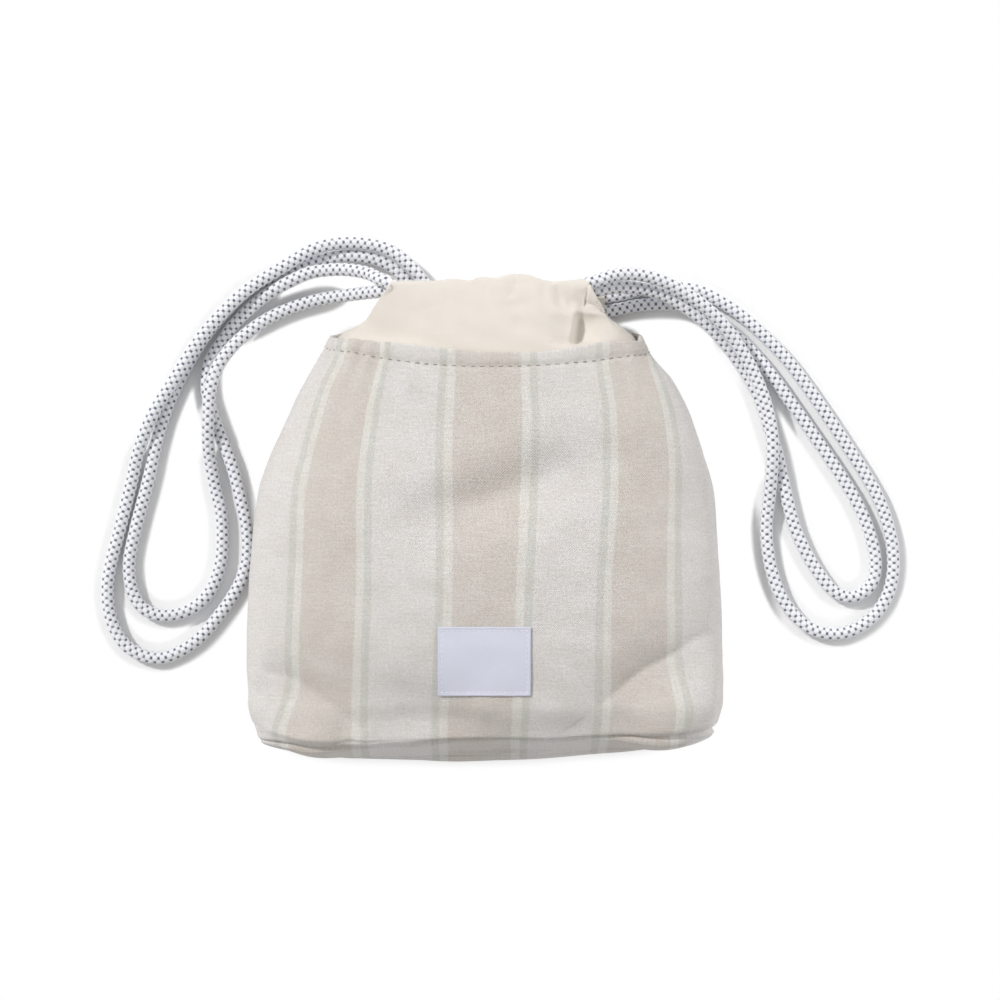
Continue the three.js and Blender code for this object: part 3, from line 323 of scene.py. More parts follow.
def smooth_line(points, per_span=12):
    """A centripetal Catmull-Rom curve through points."""
    points = np.array(points, float)
    padded = np.vstack([2 * points[0] - points[1], points, 2 * points[-1] - points[-2]])
    share = np.linspace(0, 1, per_span, endpoint=False)[:, None]
    curve = []
    for i in range(len(points) - 1):
        p0, p1, p2, p3 = padded[i:i + 4]
        spans = ((p0, p1), (p1, p2), (p2, p3))
        d0, d1, d2 = (max(np.linalg.norm(b - a) ** 0.5, LEAST_SPAN) for a, b in spans)
        slope_in = ((p1 - p0) / d0 - (p2 - p0) / (d0 + d1) + (p2 - p1) / d1) * d1
        slope_out = ((p2 - p1) / d1 - (p3 - p1) / (d1 + d2) + (p3 - p2) / d2) * d1
        curve.append(between(share, p1, p2, slope_in, slope_out))
    curve.append(points[-1:])
    return np.vstack(curve)


def section_at(share):
    """Place along the bag and half width, centre, top, side, exponent and lift at a share of it."""
    y = BASE_Y + BAG_LENGTH * share
    row = np.clip(np.searchsorted(SECTIONS[:, 0], y) - 1, 0, len(SECTIONS) - 2)
    start, end = SECTIONS[row], SECTIONS[row + 1]
    before = SECTIONS[np.maximum(row - 1, 0)]
    after = SECTIONS[np.minimum(row + 2, len(SECTIONS) - 1)]
    t = (y - start[0]) / (end[0] - start[0])
    value = between(t, start, end, (end - before) / 2, (after - start) / 2)
    return y, *value[1:]


def hem_rise(x, share):
    """How far the hem's wave lifts the cloth at x, by its share of the bag's length."""
    places, at_stitches, at_edge = np.transpose(HEM_WAVE)
    stitches, edge = (
        np.mean([np.interp(x + shift, places, rise) for shift in HEM_WAVE_SOFTENING], axis=0)
        for rise in (at_stitches, at_edge)
    )
    below = smoothstep(share, HEM_WAVE_START, HEM_STITCH_SHARE)
    return stitches * below + (edge - stitches) * smoothstep(share, HEM_STITCH_SHARE, 1.0)


def wall_points(angles, share, front):
    """Points of one cross-section of the bag's outside."""
    y, half, centre, top, side, exponent, lift = section_at(share)
    power = 2 / (exponent if front else BACK_EXPONENT)
    across = np.sign(np.cos(angles)) * np.abs(np.cos(angles)) ** power
    up = np.abs(np.sin(angles)) ** power
    taper = np.where(across < 0, *CORNER_TAPER) * smoothstep(share, CORNER_TAPER_START, 1.0)
    x = centre + half * across * (1 - taper * np.abs(across) ** 3)
    rise = hem_rise(x, share)
    if front:
        return np.stack([x, y + rise - HEM_FRONT_DIP * share**4 * up, side + (top - side) * up], axis=1)
    depth = side - lift
    z = np.maximum(lift, side - (depth + FLOOR_PRESS) * up)
    down = (side - z) / depth
    lean = BASE_LEAN * max(0.0, 1 - share / BASE_LEAN_END) ** 2
    round_off = 1 - BASE_LEAN_ROUNDING * np.abs(across) ** 3
    back_rise = (HEM_BACK_RISE * share**4 - lean * round_off) * down
    back_rise = back_rise + rise * (1 - smoothstep(down, 0.0, BACK_WAVE_END))
    return np.stack([x, y + back_rise, z], axis=1)


def even_angles(share, front, columns):
    """Angles of evenly spaced columns across one half of the bag, from left to right."""
    t = np.linspace(0, 1, ANGLE_STEPS)
    quarter = (math.pi / 2) * t * t * (3 - 2 * t)
    turns = np.concatenate([quarter, math.pi - quarter[-2::-1]])
    angles = math.pi - turns if front else math.pi + turns
    along = lengths_along(wall_points(angles, share, front))
    return np.interp(np.linspace(0, along[-1], columns), along, angles)


def base_points(angles, share, front):
    """Points of one half of the base, between its seam (0) and the wall's edge (1)."""
    edge = wall_points(angles, 0.0, front)
    _, half, centre, *_ = section_at(0.0)
    across = (edge[:, 0] - centre) / half
    seam = np.stack([
        centre + half * BASE_SEAM_SHARE * across,
        BASE_SEAM_Y + BASE_SEAM_END_RISE * np.abs(across) ** 4,
        np.full(len(angles), BASE_SEAM_HEIGHT),
    ], axis=1)
    return seam + (edge - seam) * share


def grid_normals(grid):
    """Unit normals of a grid of points, by the right-hand rule of its columns and rows."""
    return unit(np.cross(np.gradient(grid, axis=1), np.gradient(grid, axis=0)))


def nearest_on(x, y, path):
    """For points (x, y): the distance to a path, on which side of it they lie (above 0 on the left as
    one walks along it) and the share of the path walked at the nearest place."""
    path = np.array(path, float)
    walked = lengths_along(np.column_stack([path, np.zeros(len(path))]))
    nearest, side, place = np.full(x.shape, 1e9), np.zeros(x.shape), np.zeros(x.shape)
    for i in range(len(path) - 1):
        start, step = path[i], path[i + 1] - path[i]
        long = np.hypot(*step)
        t = np.clip(((x - start[0]) * step[0] + (y - start[1]) * step[1]) / long**2, 0, 1)
        dx, dy = x - start[0] - t * step[0], y - start[1] - t * step[1]
        distance = np.hypot(dx, dy)
        closer = distance < nearest
        nearest = np.where(closer, distance, nearest)
        side = np.where(closer, step[0] * dy - step[1] * dx, side)
        place = np.where(closer, (walked[i] + t * long) / walked[-1], place)
    return nearest, side, place


def fold(x, y, path, height, left_width, right_width):
    """A soft ridge (or with a negative height a valley) along a path of (x, y) points. Its two
    sides have their own widths. It fades out at both ends."""
    distance, side, place = nearest_on(x, y, path)
    width = np.where(side > 0, left_width, right_width)
    fade = np.sin(np.pi * np.clip(place, *FOLD_ENDS)) ** FOLD_FADE
    return height * fade * np.exp(-(distance / width) ** 2)


def tuck_corners(points):
    """The points with the bag's lower corners drawn in."""
    points = points.copy()
    for across, along, shift_x, shift_y, wide, long in CORNER_TUCKS:
        near = np.exp(-((points[..., 0] - across) / wide) ** 2 - ((points[..., 1] - along) / long) ** 2)
        points[..., 0] += shift_x * near
        points[..., 1] += shift_y * near
    return points


def crease(x, y, path, depth, slope_width, lip_width, lip_share, steep=False):
    """A sharp crease along a path: the cloth on its left slopes down to it ever more steeply, and on
    its right a narrow lip rises to a flat that comes back up slowly. A steep one ends where its
    slope does."""
    distance, side, place = nearest_on(x, y, path)
    slope = 1 - smoothstep(distance, 0, slope_width) if steep else np.exp(-distance / slope_width)
    lip = lip_share * np.exp(-(distance / lip_width) ** 2)
    flat = (1 - lip_share) * np.exp(-(distance / (CREASE_FLAT_WIDTH * slope_width)) ** 2)
    profile = np.where(side > 0, slope, lip + flat)
    return -depth * np.sin(np.pi * np.clip(place, *CREASE_ENDS)) ** CREASE_FADE * profile


def softened_rows(grid):
    """The grid with each row but the first and last drawn towards its neighbours."""
    softer = grid.copy()
    softer[1:-1] = (grid[:-2] + 2 * grid[1:-1] + grid[2:]) / 4
    return softer


def ripples(x, y, seed, waves, shortest, longest, height):
    """A soft unevenness made of a few sine waves in seeded directions."""
    random = np.random.default_rng(seed)
    total = np.zeros(x.shape)
    for _ in range(waves):
        turn, phase = random.uniform(0, 2 * math.pi, 2)
        size = 2 * math.pi / random.uniform(shortest, longest)
        total += np.sin(size * (x * math.cos(turn) + y * math.sin(turn)) + phase)
    return height * total / math.sqrt(waves)


def smoothstep(x, start, end):
    """0 before start and 1 after end, with a soft change between."""
    t = np.clip((x - start) / (end - start), 0, 1)
    return t * t * (3 - 2 * t)


# Meshes.
def grid_quads(rows, columns, start=0):
    """The quads of a grid whose points are numbered row by row."""
    index = start + np.arange(rows * columns).reshape(rows, columns)
    corners = [index[:-1, :-1], index[:-1, 1:], index[1:, 1:], index[1:, :-1]]
    return np.stack(corners, axis=-1).reshape(-1, 4)


def enclosed_volume(points, quads):
    """The volume inside a closed mesh, which is negative when its faces point inwards."""
    a, b, c, d = (points[quads[:, k]] for k in range(4))
    return float((a * np.cross(b, c)).sum() + (a * np.cross(c, d)).sum()) / 6


def link_object(name, data):
    """A new object in the scene, at the origin."""
    made = bpy.data.objects.new(name, data)
    bpy.context.scene.collection.objects.link(made)
    return made


def lay_cloth_map(mesh, corner_places):
    """Gives the mesh its "cloth" map, with a pair of places for each corner of its faces."""
    layer = mesh.uv_layers.new(name="cloth")
    layer.data.foreach_set("uv", np.asarray(corner_places, np.float32).reshape(-1))


def make_piece(name, points, quads, places, material):
    """A smooth mesh object, with the pair of places on the flat cloth of each point."""
    mesh = bpy.data.meshes.new(name)
    mesh.from_pydata(points.tolist(), [], quads.tolist())
    lay_cloth_map(mesh, places[quads.reshape(-1)])
    mesh.polygons.foreach_set("use_smooth", np.ones(len(quads), bool))
    mesh.materials.append(material)
    mesh.update()
    return link_object(name, mesh)


def apply_modifiers(piece):
    """Turns what the piece's modifiers make into its plain mesh."""
    evaluated = piece.evaluated_get(bpy.context.evaluated_depsgraph_get())
    final = bpy.data.meshes.new_from_object(evaluated)
    piece.modifiers.clear()
    piece.data = final


def border_of(rows, columns):
    """The numbers of a grid's border points, once round."""
    index = np.arange(rows * columns).reshape(rows, columns)
    return np.concatenate([index[0, :], index[1:, -1], index[-1, -2::-1], index[-2:0:-1, 0]])


def sheet_parts(outer, inner, flat, rim_steps=3):
    """Points, quads and flat places of a closed sheet between two grids, with a rounded edge."""
    rows, columns = outer.shape[:2]
    count = rows * columns
    outside, inside, places = outer.reshape(-1, 3), inner.reshape(-1, 3), flat.reshape(-1, 2)
    border = border_of(rows, columns)
    row, column = np.divmod(border, columns)
    inward = np.clip(row, 1, rows - 2) * columns + np.clip(column, 1, columns - 2)
    across = inside[border] - outside[border]
    thick = np.linalg.norm(across, axis=1, keepdims=True)
    outward = unit(outside[border] - outside[inward])
    outward = unit(outward - unit(across) * (outward * unit(across)).sum(1, keepdims=True))
    points, maps = [outside, inside], [places, places]
    rings = [border]
    for k in range(1, rim_steps + 1):
        turn = math.pi * k / (rim_steps + 1)
        rings.append(2 * count + (k - 1) * len(border) + np.arange(len(border)))
        points.append(
            outside[border] + across * (1 - math.cos(turn)) / 2 + outward * thick / 2 * math.sin(turn)
        )
        maps.append(places[border])
    rings.append(border + count)
    quads = [grid_quads(rows, columns), grid_quads(rows, columns, count)[:, ::-1]]
    for a, b in zip(rings[:-1], rings[1:]):
        quads.append(np.stack([np.roll(a, -1), a, b, np.roll(b, -1)], axis=1))
    points, quads = np.vstack(points), np.vstack(quads)
    if enclosed_volume(points, quads) < 0:
        quads = quads[:, ::-1]
    return points, quads, np.vstack(maps)


def sizes():
    """The sizes that a user can change."""
    return bpy.context.scene.purse_sizes


def colours():
    """The colours that a user can change."""
    return bpy.context.scene.purse_colours


# Materials.
WHITE = (1.0, 1.0, 1.0, 1.0)


def add_node(tree, kind, inputs=None, **settings):
    """Adds a node to a tree. An input is a value or another node's output."""
    made = tree.nodes.new(kind)
    for key, value in settings.items():
        setattr(made, key, value)
    for key, value in (inputs or {}).items():
        if isinstance(value, bpy.types.NodeSocket):
            tree.links.new(value, made.inputs[key])
        else:
            made.inputs[key].default_value = value
    return made


class Finish:
    """A procedural material, made node by node."""

    def __init__(self, name):
        self.material = bpy.data.materials.new(name)
        self.material.use_nodes = True
        self.tree = self.material.node_tree
        self.tree.nodes.clear()

    def add(self, kind, inputs=None, **settings):
        """Adds a node to the material."""
        return add_node(self.tree, kind, inputs, **settings)

    def math(self, operation, *values):
        """Adds a Math node and gives its output."""
        return self.add("ShaderNodeMath", dict(enumerate(values)), operation=operation).outputs[0]

    def range(self, value, low, high, out_low=0.0, out_high=1.0, soft=True):
        """A value mapped from one range to another."""
        return self.add(
            "ShaderNodeMapRange",
            {"Value": value, "From Min": low, "From Max": high, "To Min": out_low, "To Max": out_high},
            interpolation_type="SMOOTHSTEP" if soft else "LINEAR",
        ).outputs[0]

    def noise(self, place, scale, stretch=(1, 1, 1), detail=2.0, roughness=0.5):
        """A noise texture, stretched along the axes of its coordinates."""
        mapped = self.add("ShaderNodeMapping", {"Vector": place, "Scale": stretch}).outputs[0]
        return self.add(
            "ShaderNodeTexNoise",
            {"Vector": mapped, "Scale": scale, "Detail": detail, "Roughness": roughness},
        ).outputs["Fac"]

    def mix(self, share, first, second, blend_type="MIX"):
        """Two colours mixed. A Mix node's colours are its inputs 6 and 7 and its output 2."""
        return self.add(
            "ShaderNodeMix", {0: share, 6: first, 7: second}, data_type="RGBA", blend_type=blend_type,
        ).outputs[2]

    def tinted(self, colour, value, low, high):
        """A colour made darker or lighter by a value from 0 to 1."""
        shade = self.range(value, 0.0, 1.0, low, high, soft=False)
        return self.add("ShaderNodeHueSaturation", {"Color": colour, "Value": shade}).outputs[0]

    def finish(self, colour, height, depth, strength, roughness, sheen):
        """Ends in a cloth-like surface, whose height becomes a bump of that depth."""
        bump = self.add("ShaderNodeBump", {"Height": height, "Strength": strength, "Distance": depth})
        surface = self.add("ShaderNodeBsdfPrincipled", {
            "Base Color": colour, "Normal": bump.outputs[0], "Roughness": roughness,
            "Sheen Weight": sheen, "Sheen Roughness": 0.5, "Specular IOR Level": 0.25,
        })
        self.add("ShaderNodeOutputMaterial", {"Surface": surface.outputs[0]})
        return self.material


def cloth_place(finish):
    """The coordinates along a piece's cloth, in metres: both, across and along."""
    place = finish.add("ShaderNodeUVMap", uv_map="cloth").outputs[0]
    split = finish.add("ShaderNodeSeparateXYZ", {"Vector": place})
    return place, split.outputs[0], split.outputs[1]


def weave_height(finish, across, along, pitch):
    """The height of a plain weave: yarns that pass over and under each other."""
    turn = math.pi / pitch
    warp = finish.math("SINE", finish.math("MULTIPLY", across, turn))
    weft = finish.math("SINE", finish.math("MULTIPLY", along, turn))
    return finish.math("MULTIPLY_ADD", finish.math("MULTIPLY", warp, weft), 0.5, 0.5)


# How far the stripes' edges wander, in metres, and how soft they are, as a share of half a period.
STRIPE_WANDER = 0.0012
STRIPE_BLUR = 0.011
WARM_TINT = (246, 238, 230)
# How noises are stretched into yarns across the cloth and along it.
YARNS_ACROSS = (0.12, 1.6, 1.0)
YARNS_ALONG = (1.6, 0.12, 1.0)
COTTON_PITCH = 0.00034
LABEL_RIB_PITCH = 0.00042
# The reach of a fleck of the braid, as a share of a strand's width.
FLECK_SHARE = 0.255
FIBRES_PER_STRAND = 5


def striped_cloth():
    """Cotton and linen in beige, cream and grey-green stripes on a plain ground."""
    size, colour = sizes(), colours()
    finish = Finish("striped cloth")
    place, across, along = cloth_place(finish)
    wander = finish.noise(place, 260.0, (1.0, 0.12, 1.0), 2.0)
    centred = finish.math("SUBTRACT", across, STRIPE_WANDER / 2)
    wandering = finish.math("MULTIPLY_ADD", wander, STRIPE_WANDER, centred)
    half = size.stripe_period / 2
    from_middle = finish.math("PINGPONG", wandering, half)
    edges = [size.beige_width / 2]
    edges.append(edges[0] + size.cream_width)
    edges.append(edges[1] + size.grey_width)
    ramp = finish.add("ShaderNodeValToRGB", {"Fac": finish.math("DIVIDE", from_middle, half)})
    bands = [colour.beige_cloth, colour.cream_line, colour.grey_line, colour.plain_cloth]
    elements = ramp.color_ramp.elements
    elements[0].color = (*bands[0], 1.0)
    elements[1].color = (*bands[-1], 1.0)
    for edge, before, after in zip(edges, bands[:-1], bands[1:]):
        elements.new(edge / half - STRIPE_BLUR).color = (*before, 1.0)
        elements.new(edge / half + STRIPE_BLUR).color = (*after, 1.0)
    slub_across = finish.noise(place, 900.0, YARNS_ACROSS, 3.0, 0.6)
    slub_along = finish.noise(place, 900.0, YARNS_ALONG, 3.0, 0.6)
    flecks = finish.noise(place, 850.0, roughness=0.7)
    patches = finish.noise(place, 90.0, detail=3.0, roughness=0.55)
    shade = finish.tinted(ramp.outputs[0], slub_across, 0.86, 1.14)
    shade = finish.tinted(shade, slub_along, 0.92, 1.08)
    shade = finish.tinted(shade, flecks, 0.76, 1.24)
    tint = finish.range(patches, 0.3, 0.7, 0.0, 0.3)
    warm = finish.mix(tint, shade, (*linear(*WARM_TINT), 1.0), "MULTIPLY")
    weave = weave_height(finish, across, along, size.yarn_pitch)
    height = finish.math("ADD", weave, finish.math("MULTIPLY", slub_across, 1.2))
    height = finish.math("ADD", height, finish.math("MULTIPLY", flecks, 1.2))
    return finish.finish(warm, height, depth=0.00022, strength=0.55, roughness=0.88, sheen=0.2)


def plain_cotton(name, colour):
    """Thin plain-woven cotton."""
    finish = Finish(name)
    place, across, along = cloth_place(finish)
    yarns = finish.noise(place, 1800.0, (0.2, 1.4, 1.0), roughness=0.6)
    patches = finish.noise(place, 130.0, detail=3.0)
    shade = finish.tinted((*colour, 1.0), yarns, 0.97, 1.03)
    shade = finish.tinted(shade, patches, 0.965, 1.025)
    weave = weave_height(finish, across, along, COTTON_PITCH)
    height = finish.math("ADD", weave, yarns)
    return finish.finish(shade, height, depth=0.00012, strength=0.45, roughness=0.85, sheen=0.25)


def woven_label():
    """A dense satin-like woven label, blank."""
    finish = Finish("woven label")
    place, _, along = cloth_place(finish)
    ribs = finish.math("SINE", finish.math("MULTIPLY", along, 2 * math.pi / LABEL_RIB_PITCH))
    yarns = finish.noise(place, 2400.0, (0.25, 1.5, 1.0), roughness=0.6)
    patches = finish.noise(place, 200.0)
    shade = finish.tinted((*colours().label, 1.0), yarns, 0.965, 1.035)
    shade = finish.tinted(shade, patches, 0.975, 1.02)
    height = finish.math("MULTIPLY_ADD", ribs, 0.5, yarns)
    return finish.finish(shade, height, depth=0.00008, strength=0.4, roughness=0.6, sheen=0.1)


def spun_thread(name, colour):
    """Twisted sewing thread."""
    finish = Finish(name)
    place = finish.add("ShaderNodeTexCoord").outputs["Object"]
    twist = finish.noise(place, 5200.0, roughness=0.6)
    shade = finish.tinted((*colour, 1.0), twist, 0.82, 1.12)
    return finish.finish(shade, twist, depth=0.0001, strength=0.6, roughness=0.75, sheen=0.2)


def braided_cord():
    """White strands braided round, with a dark fleck in each gap and painted shade between strands.
    The piece's "cloth" map counts columns of flecks round the cord and pitches along it."""
    finish = Finish("braided cord")
    place, around, along = cloth_place(finish)
    half = finish.math("MULTIPLY", around, 0.5)
    first, second = finish.math("ADD", half, along), finish.math("SUBTRACT", half, along)
    gaps = []
    for strand in (first, second):
        nearest = finish.math("SUBTRACT", strand, finish.math("ROUND", strand))
        gaps.append(finish.math("MULTIPLY", nearest, nearest))
    uneven = finish.noise(place, 2.2, roughness=0.6)
    reach = finish.math("SQRT", finish.math("ADD", gaps[0], gaps[1]))
    reach = finish.math("MULTIPLY_ADD", uneven, 0.1, finish.math("SUBTRACT", reach, 0.05))
    fleck = finish.range(reach, FLECK_SHARE - 0.08, FLECK_SHARE + 0.07, 1.0, 0.0)
    pale = finish.noise(place, 0.9, detail=1.0)
    fleck = finish.math("MULTIPLY", fleck, finish.range(pale, 0.3, 0.6, 0.72, 1.0))
    # Painted shade: the white strands are darkened along the grooves where they meet.
    nearest_edge = finish.math("SQRT", finish.math("MINIMUM", gaps[0], gaps[1]))
    painted_furrow_shade = finish.range(nearest_edge, 0.02, 0.17, 0.82, 1.0)
    yarns = [
        finish.math("SINE", finish.math("MULTIPLY", strand, 2 * math.pi * FIBRES_PER_STRAND))
        for strand in (first, second)
    ]
    strand_share = finish.range(finish.math("SUBTRACT", gaps[0], gaps[1]), -0.02, 0.02)
    fibres = finish.math(
        "ADD",
        finish.math("MULTIPLY", yarns[0], finish.math("SUBTRACT", 1.0, strand_share)),
        finish.math("MULTIPLY", yarns[1], strand_share),
    )
    fine = finish.noise(place, 26.0, roughness=0.6)
    white = finish.tinted((*colours().cord, 1.0), fine, 0.93, 1.06)
    white = finish.tinted(white, painted_furrow_shade, 0.0, 1.0)
    dark = finish.tinted((*colours().cord_fleck, 1.0), fine, 0.75, 1.35)
    shade = finish.mix(fleck, white, dark)
    lift = finish.math("MULTIPLY_ADD", fibres, 0.25, fine)
    return finish.finish(shade, lift, depth=0.00012, strength=0.5, roughness=0.7, sheen=0.25)


# The bag's cloth: a grid whose rows run from the base seam over the lower edge to the hem, closest
# where it bends, and whose columns run from side seam to side seam.
OUTER_COLUMNS = 185
WALL_ROWS = np.concatenate([
    np.linspace(0, 0.05, 14, endpoint=False),
    np.linspace(0.05, 0.9, 110, endpoint=False),
    np.linspace(0.9, 1, 27),
])
BASE_ROWS = -(np.linspace(1, 0.045, 22) ** 1.25)
EDGE_SMOOTHING = 14
EDGE_REACH = 0.012

# Sharp creases as (path of x and y, depth, width of the slope on its left, width of the lip on its
# right, share of the depth that the lip has).
FRONT_CREASES = (
    (((0.046, -0.083), (0.0535, -0.0775), (0.062, -0.0709), (0.0705, -0.0649), (0.081, -0.0594),
      (0.092, -0.0515), (0.099, -0.047)), 0.0064, 0.0092, 0.0022, 0.1),
    (((-0.1, -0.0635), (-0.0845, -0.0685), (-0.078, -0.0726), (-0.0715, -0.0778), (-0.0628, -0.0835),
      (-0.0563, -0.0885), (-0.05, -0.0925)), 0.0052, 0.009, 0.0026, 0.2),
)
# Soft folds as (path of x and y, height, width on its left, width on its right). A valley is negative.
FRONT_FOLDS = (
    (((-0.097, -0.0895), (-0.08, -0.0925), (-0.062, -0.0945)), 0.0036, 0.012, 0.0025),
    (((-0.054, -0.0825), (-0.04, -0.084), (-0.02, -0.0847), (0.0, -0.085)), -0.0042, 0.016, 0.008),
    (((0.066, 0.042), (0.07, 0.0), (0.07, -0.045)), -0.003, 0.013, 0.03),
    (((0.099, -0.05), (0.0985, -0.07), (0.0955, -0.085), (0.0935, -0.097)), 0.0036, 0.004, 0.0125),
    (((0.02, -0.083), (0.045, -0.084)), 0.0008, 0.006, 0.006),
    (((-0.036, -0.001), (-0.012, 0.006), (0.01, 0.0135), (0.029, 0.0215), (0.052, 0.0285)),
     -0.0076, 0.0115, 0.014),
    (((0.006, 0.066), (0.012, 0.048), (0.024, 0.034)), 0.0012, 0.009, 0.009),
)
# Rounded bulges as (x, y, height, reach along x, reach along y).
FRONT_BULGES = (
    (-0.074, -0.098, 0.0036, 0.018, 0.014),
    (0.084, -0.089, 0.0052, 0.019, 0.017),
    (0.092, 0.0, -0.0022, 0.016, 0.02),
    (0.075, 0.045, 0.002, 0.02, 0.025),
    (0.01, -0.099, -0.003, 0.036, 0.0125),
    (0.045, 0.02, -0.0016, 0.02, 0.02),
)
# How deep the crease under the bag's lower edge is, at values of x.
BASE_CREASE = (
    (-0.1, 0.6), (-0.09, 1.0), (-0.066, 0.8), (-0.05, 0.25), (-0.035, 0.3), (-0.024, 0.8),
    (0.015, 0.8), (0.024, 0.5), (0.042, 0.5), (0.052, 0.9), (0.09, 1.0), (0.1, 0.6),
)
BASE_CREASE_DEPTH = 0.0032
BASE_CREASE_WIDTH = 0.0021
# How far below the edge that crease lies, at values of x.
BASE_CREASE_DROP = ((-0.1, 0.0015), (0.03, 0.0021), (0.06, 0.0), (0.095, -0.0032))
# How far from the base seam all folds have faded out.
BASE_FADE = 0.005
# The dip along the hem's stitches, how much each stitch deepens it, and the soft edge beyond it.
HEM_DIP_DEPTH = 0.0006
HEM_DIP_WIDTH = 0.0013
HEM_PUCKER = 0.35
HEM_PUFF = 0.0004
HEM_PUFF_WIDTH = 0.003
# Small gathers below the hem, as (side, period, phase, start and end of their rise in x, share).
HEM_GATHERS = ((-1, 0.0135, 0.6, 0.02, 0.05, 1.0), (1, 0.0178, 2.0, 0.03, 0.06, 0.5))
HEM_GATHER_HEIGHT = 0.0006
HEM_GATHER_REACH = 0.022
# Unevenness of the cloth, as (seed, waves, shortest wave, longest wave, height).
FRONT_RIPPLES = (11, 6, 0.03, 0.07, 0.00045)
FINE_RIPPLES = (12, 8, 0.012, 0.024, 0.00016)
BACK_RIPPLES = (13, 6, 0.03, 0.06, 0.0003)
RIPPLES_FROM_SEAM = 0.02
BACK_RIPPLE_HEIGHTS = (0.0015, 0.006)
# Near the hem the groove of the side seam gets shallower, between these shares of the bag's length.
SEAM_GROOVE_FADE = 0.7
SEAM_GROOVE_FADE_PART = (0.75, 0.95)

# Where the middles of the coloured stripe groups lie, as shares of the half width from the middle
# at the base, at the widest place and at the hem, with their places on the flat cloth.
STRIPE_ROWS = (0.0, 0.355, 1.0)
STRIPE_GROUPS = (
    (-0.0883, (-0.822, -0.787, -0.885)),
    (-0.0534, (-0.529, -0.498, -0.64)),
    (-0.0175, (-0.187, -0.166, -0.256)),
    (0.0175, (0.165, 0.166, 0.256)),
    (0.0534, (0.516, 0.498, 0.702)),
    (0.0883, (0.855, 0.792, 0.985)),
)
STRIPE_MIDDLE = (-0.0012, -0.0002, 0.0016)
STRIPE_MARGIN = 0.1
STRIPE_SOFTENING = np.linspace(-0.006, 0.006, 9)
# How far the outermost stripe group on the left bends out towards the lower edge.
STRIPE_BEND = 0.0058
STRIPE_BEND_END = 0.12


def stripe_place(row_points, share):
    """The place across the flat cloth of each point of one row of the bag."""
    share = max(share, 0.0)
    half = section_at(share)[1]
    middle = np.interp(share, STRIPE_ROWS, STRIPE_MIDDLE)
    curves = [np.polyfit(STRIPE_ROWS, ratios, 2) for _, ratios in STRIPE_GROUPS]
    knots = [middle + half * np.polyval(curve, share) for curve in curves]
    knots[0] -= STRIPE_BEND * (1 - smoothstep(share, 0.0, STRIPE_BEND_END))
    along = lengths_along(row_points)
    at = np.interp(knots, row_points[:, 0], along)
    flat = np.array([place for place, _ in STRIPE_GROUPS])
    at = np.concatenate([[at[0] - STRIPE_MARGIN], at, [at[-1] + STRIPE_MARGIN]])
    flat = np.concatenate([[flat[0] - STRIPE_MARGIN], flat, [flat[-1] + STRIPE_MARGIN]])
    return np.mean([np.interp(along + shift, at, flat) for shift in STRIPE_SOFTENING], axis=0)


def soften_edge(grid, along, places):
    """The same grid with its rows near the bag's lower edge rounded."""
    near = (np.abs(along - along[places]) < EDGE_REACH)[:, None, None]
    for _ in range(EDGE_SMOOTHING):
        grid = np.where(near, softened_rows(grid), grid)
    return grid


def front_depths(x, y, share, from_edge, from_hem, from_seam, from_base, flat_across):
    """How far the front's folds, bulges, creases and gathers lift its cloth, in metres."""
    depth = np.zeros(x.shape)
    for path, height, left_width, right_width in FRONT_FOLDS:
        depth += np.where(share > 0, fold(x, y, path, height, left_width, right_width), 0)
    for across, along, height, wide, long in FRONT_BULGES:
        depth += height * np.exp(-((x - across) / wide) ** 2 - ((y - along) / long) ** 2)
    for path, *shape in FRONT_CREASES:
        depth += np.where(share > 0, crease(x, y, path, *shape), 0)
    strength = np.interp(x, *np.transpose(BASE_CREASE))
    drop = np.interp(x, *np.transpose(BASE_CREASE_DROP))
    depth -= BASE_CREASE_DEPTH * strength * np.exp(-((from_edge + drop) / BASE_CREASE_WIDTH) ** 2)
    gathers = sum(
        part * np.sin(2 * math.pi * flat_across / period + phase) * smoothstep(side * x, start, end)
        for side, period, phase, start, end, part in HEM_GATHERS
    )
    depth += HEM_GATHER_HEIGHT * gathers * np.exp(-from_hem / HEM_GATHER_REACH)
    depth += ripples(x, y, *FRONT_RIPPLES) * smoothstep(from_seam, 0.0, RIPPLES_FROM_SEAM)
    depth += ripples(x, y, *FINE_RIPPLES)
    return depth * smoothstep(from_base, 0.0, BASE_FADE)


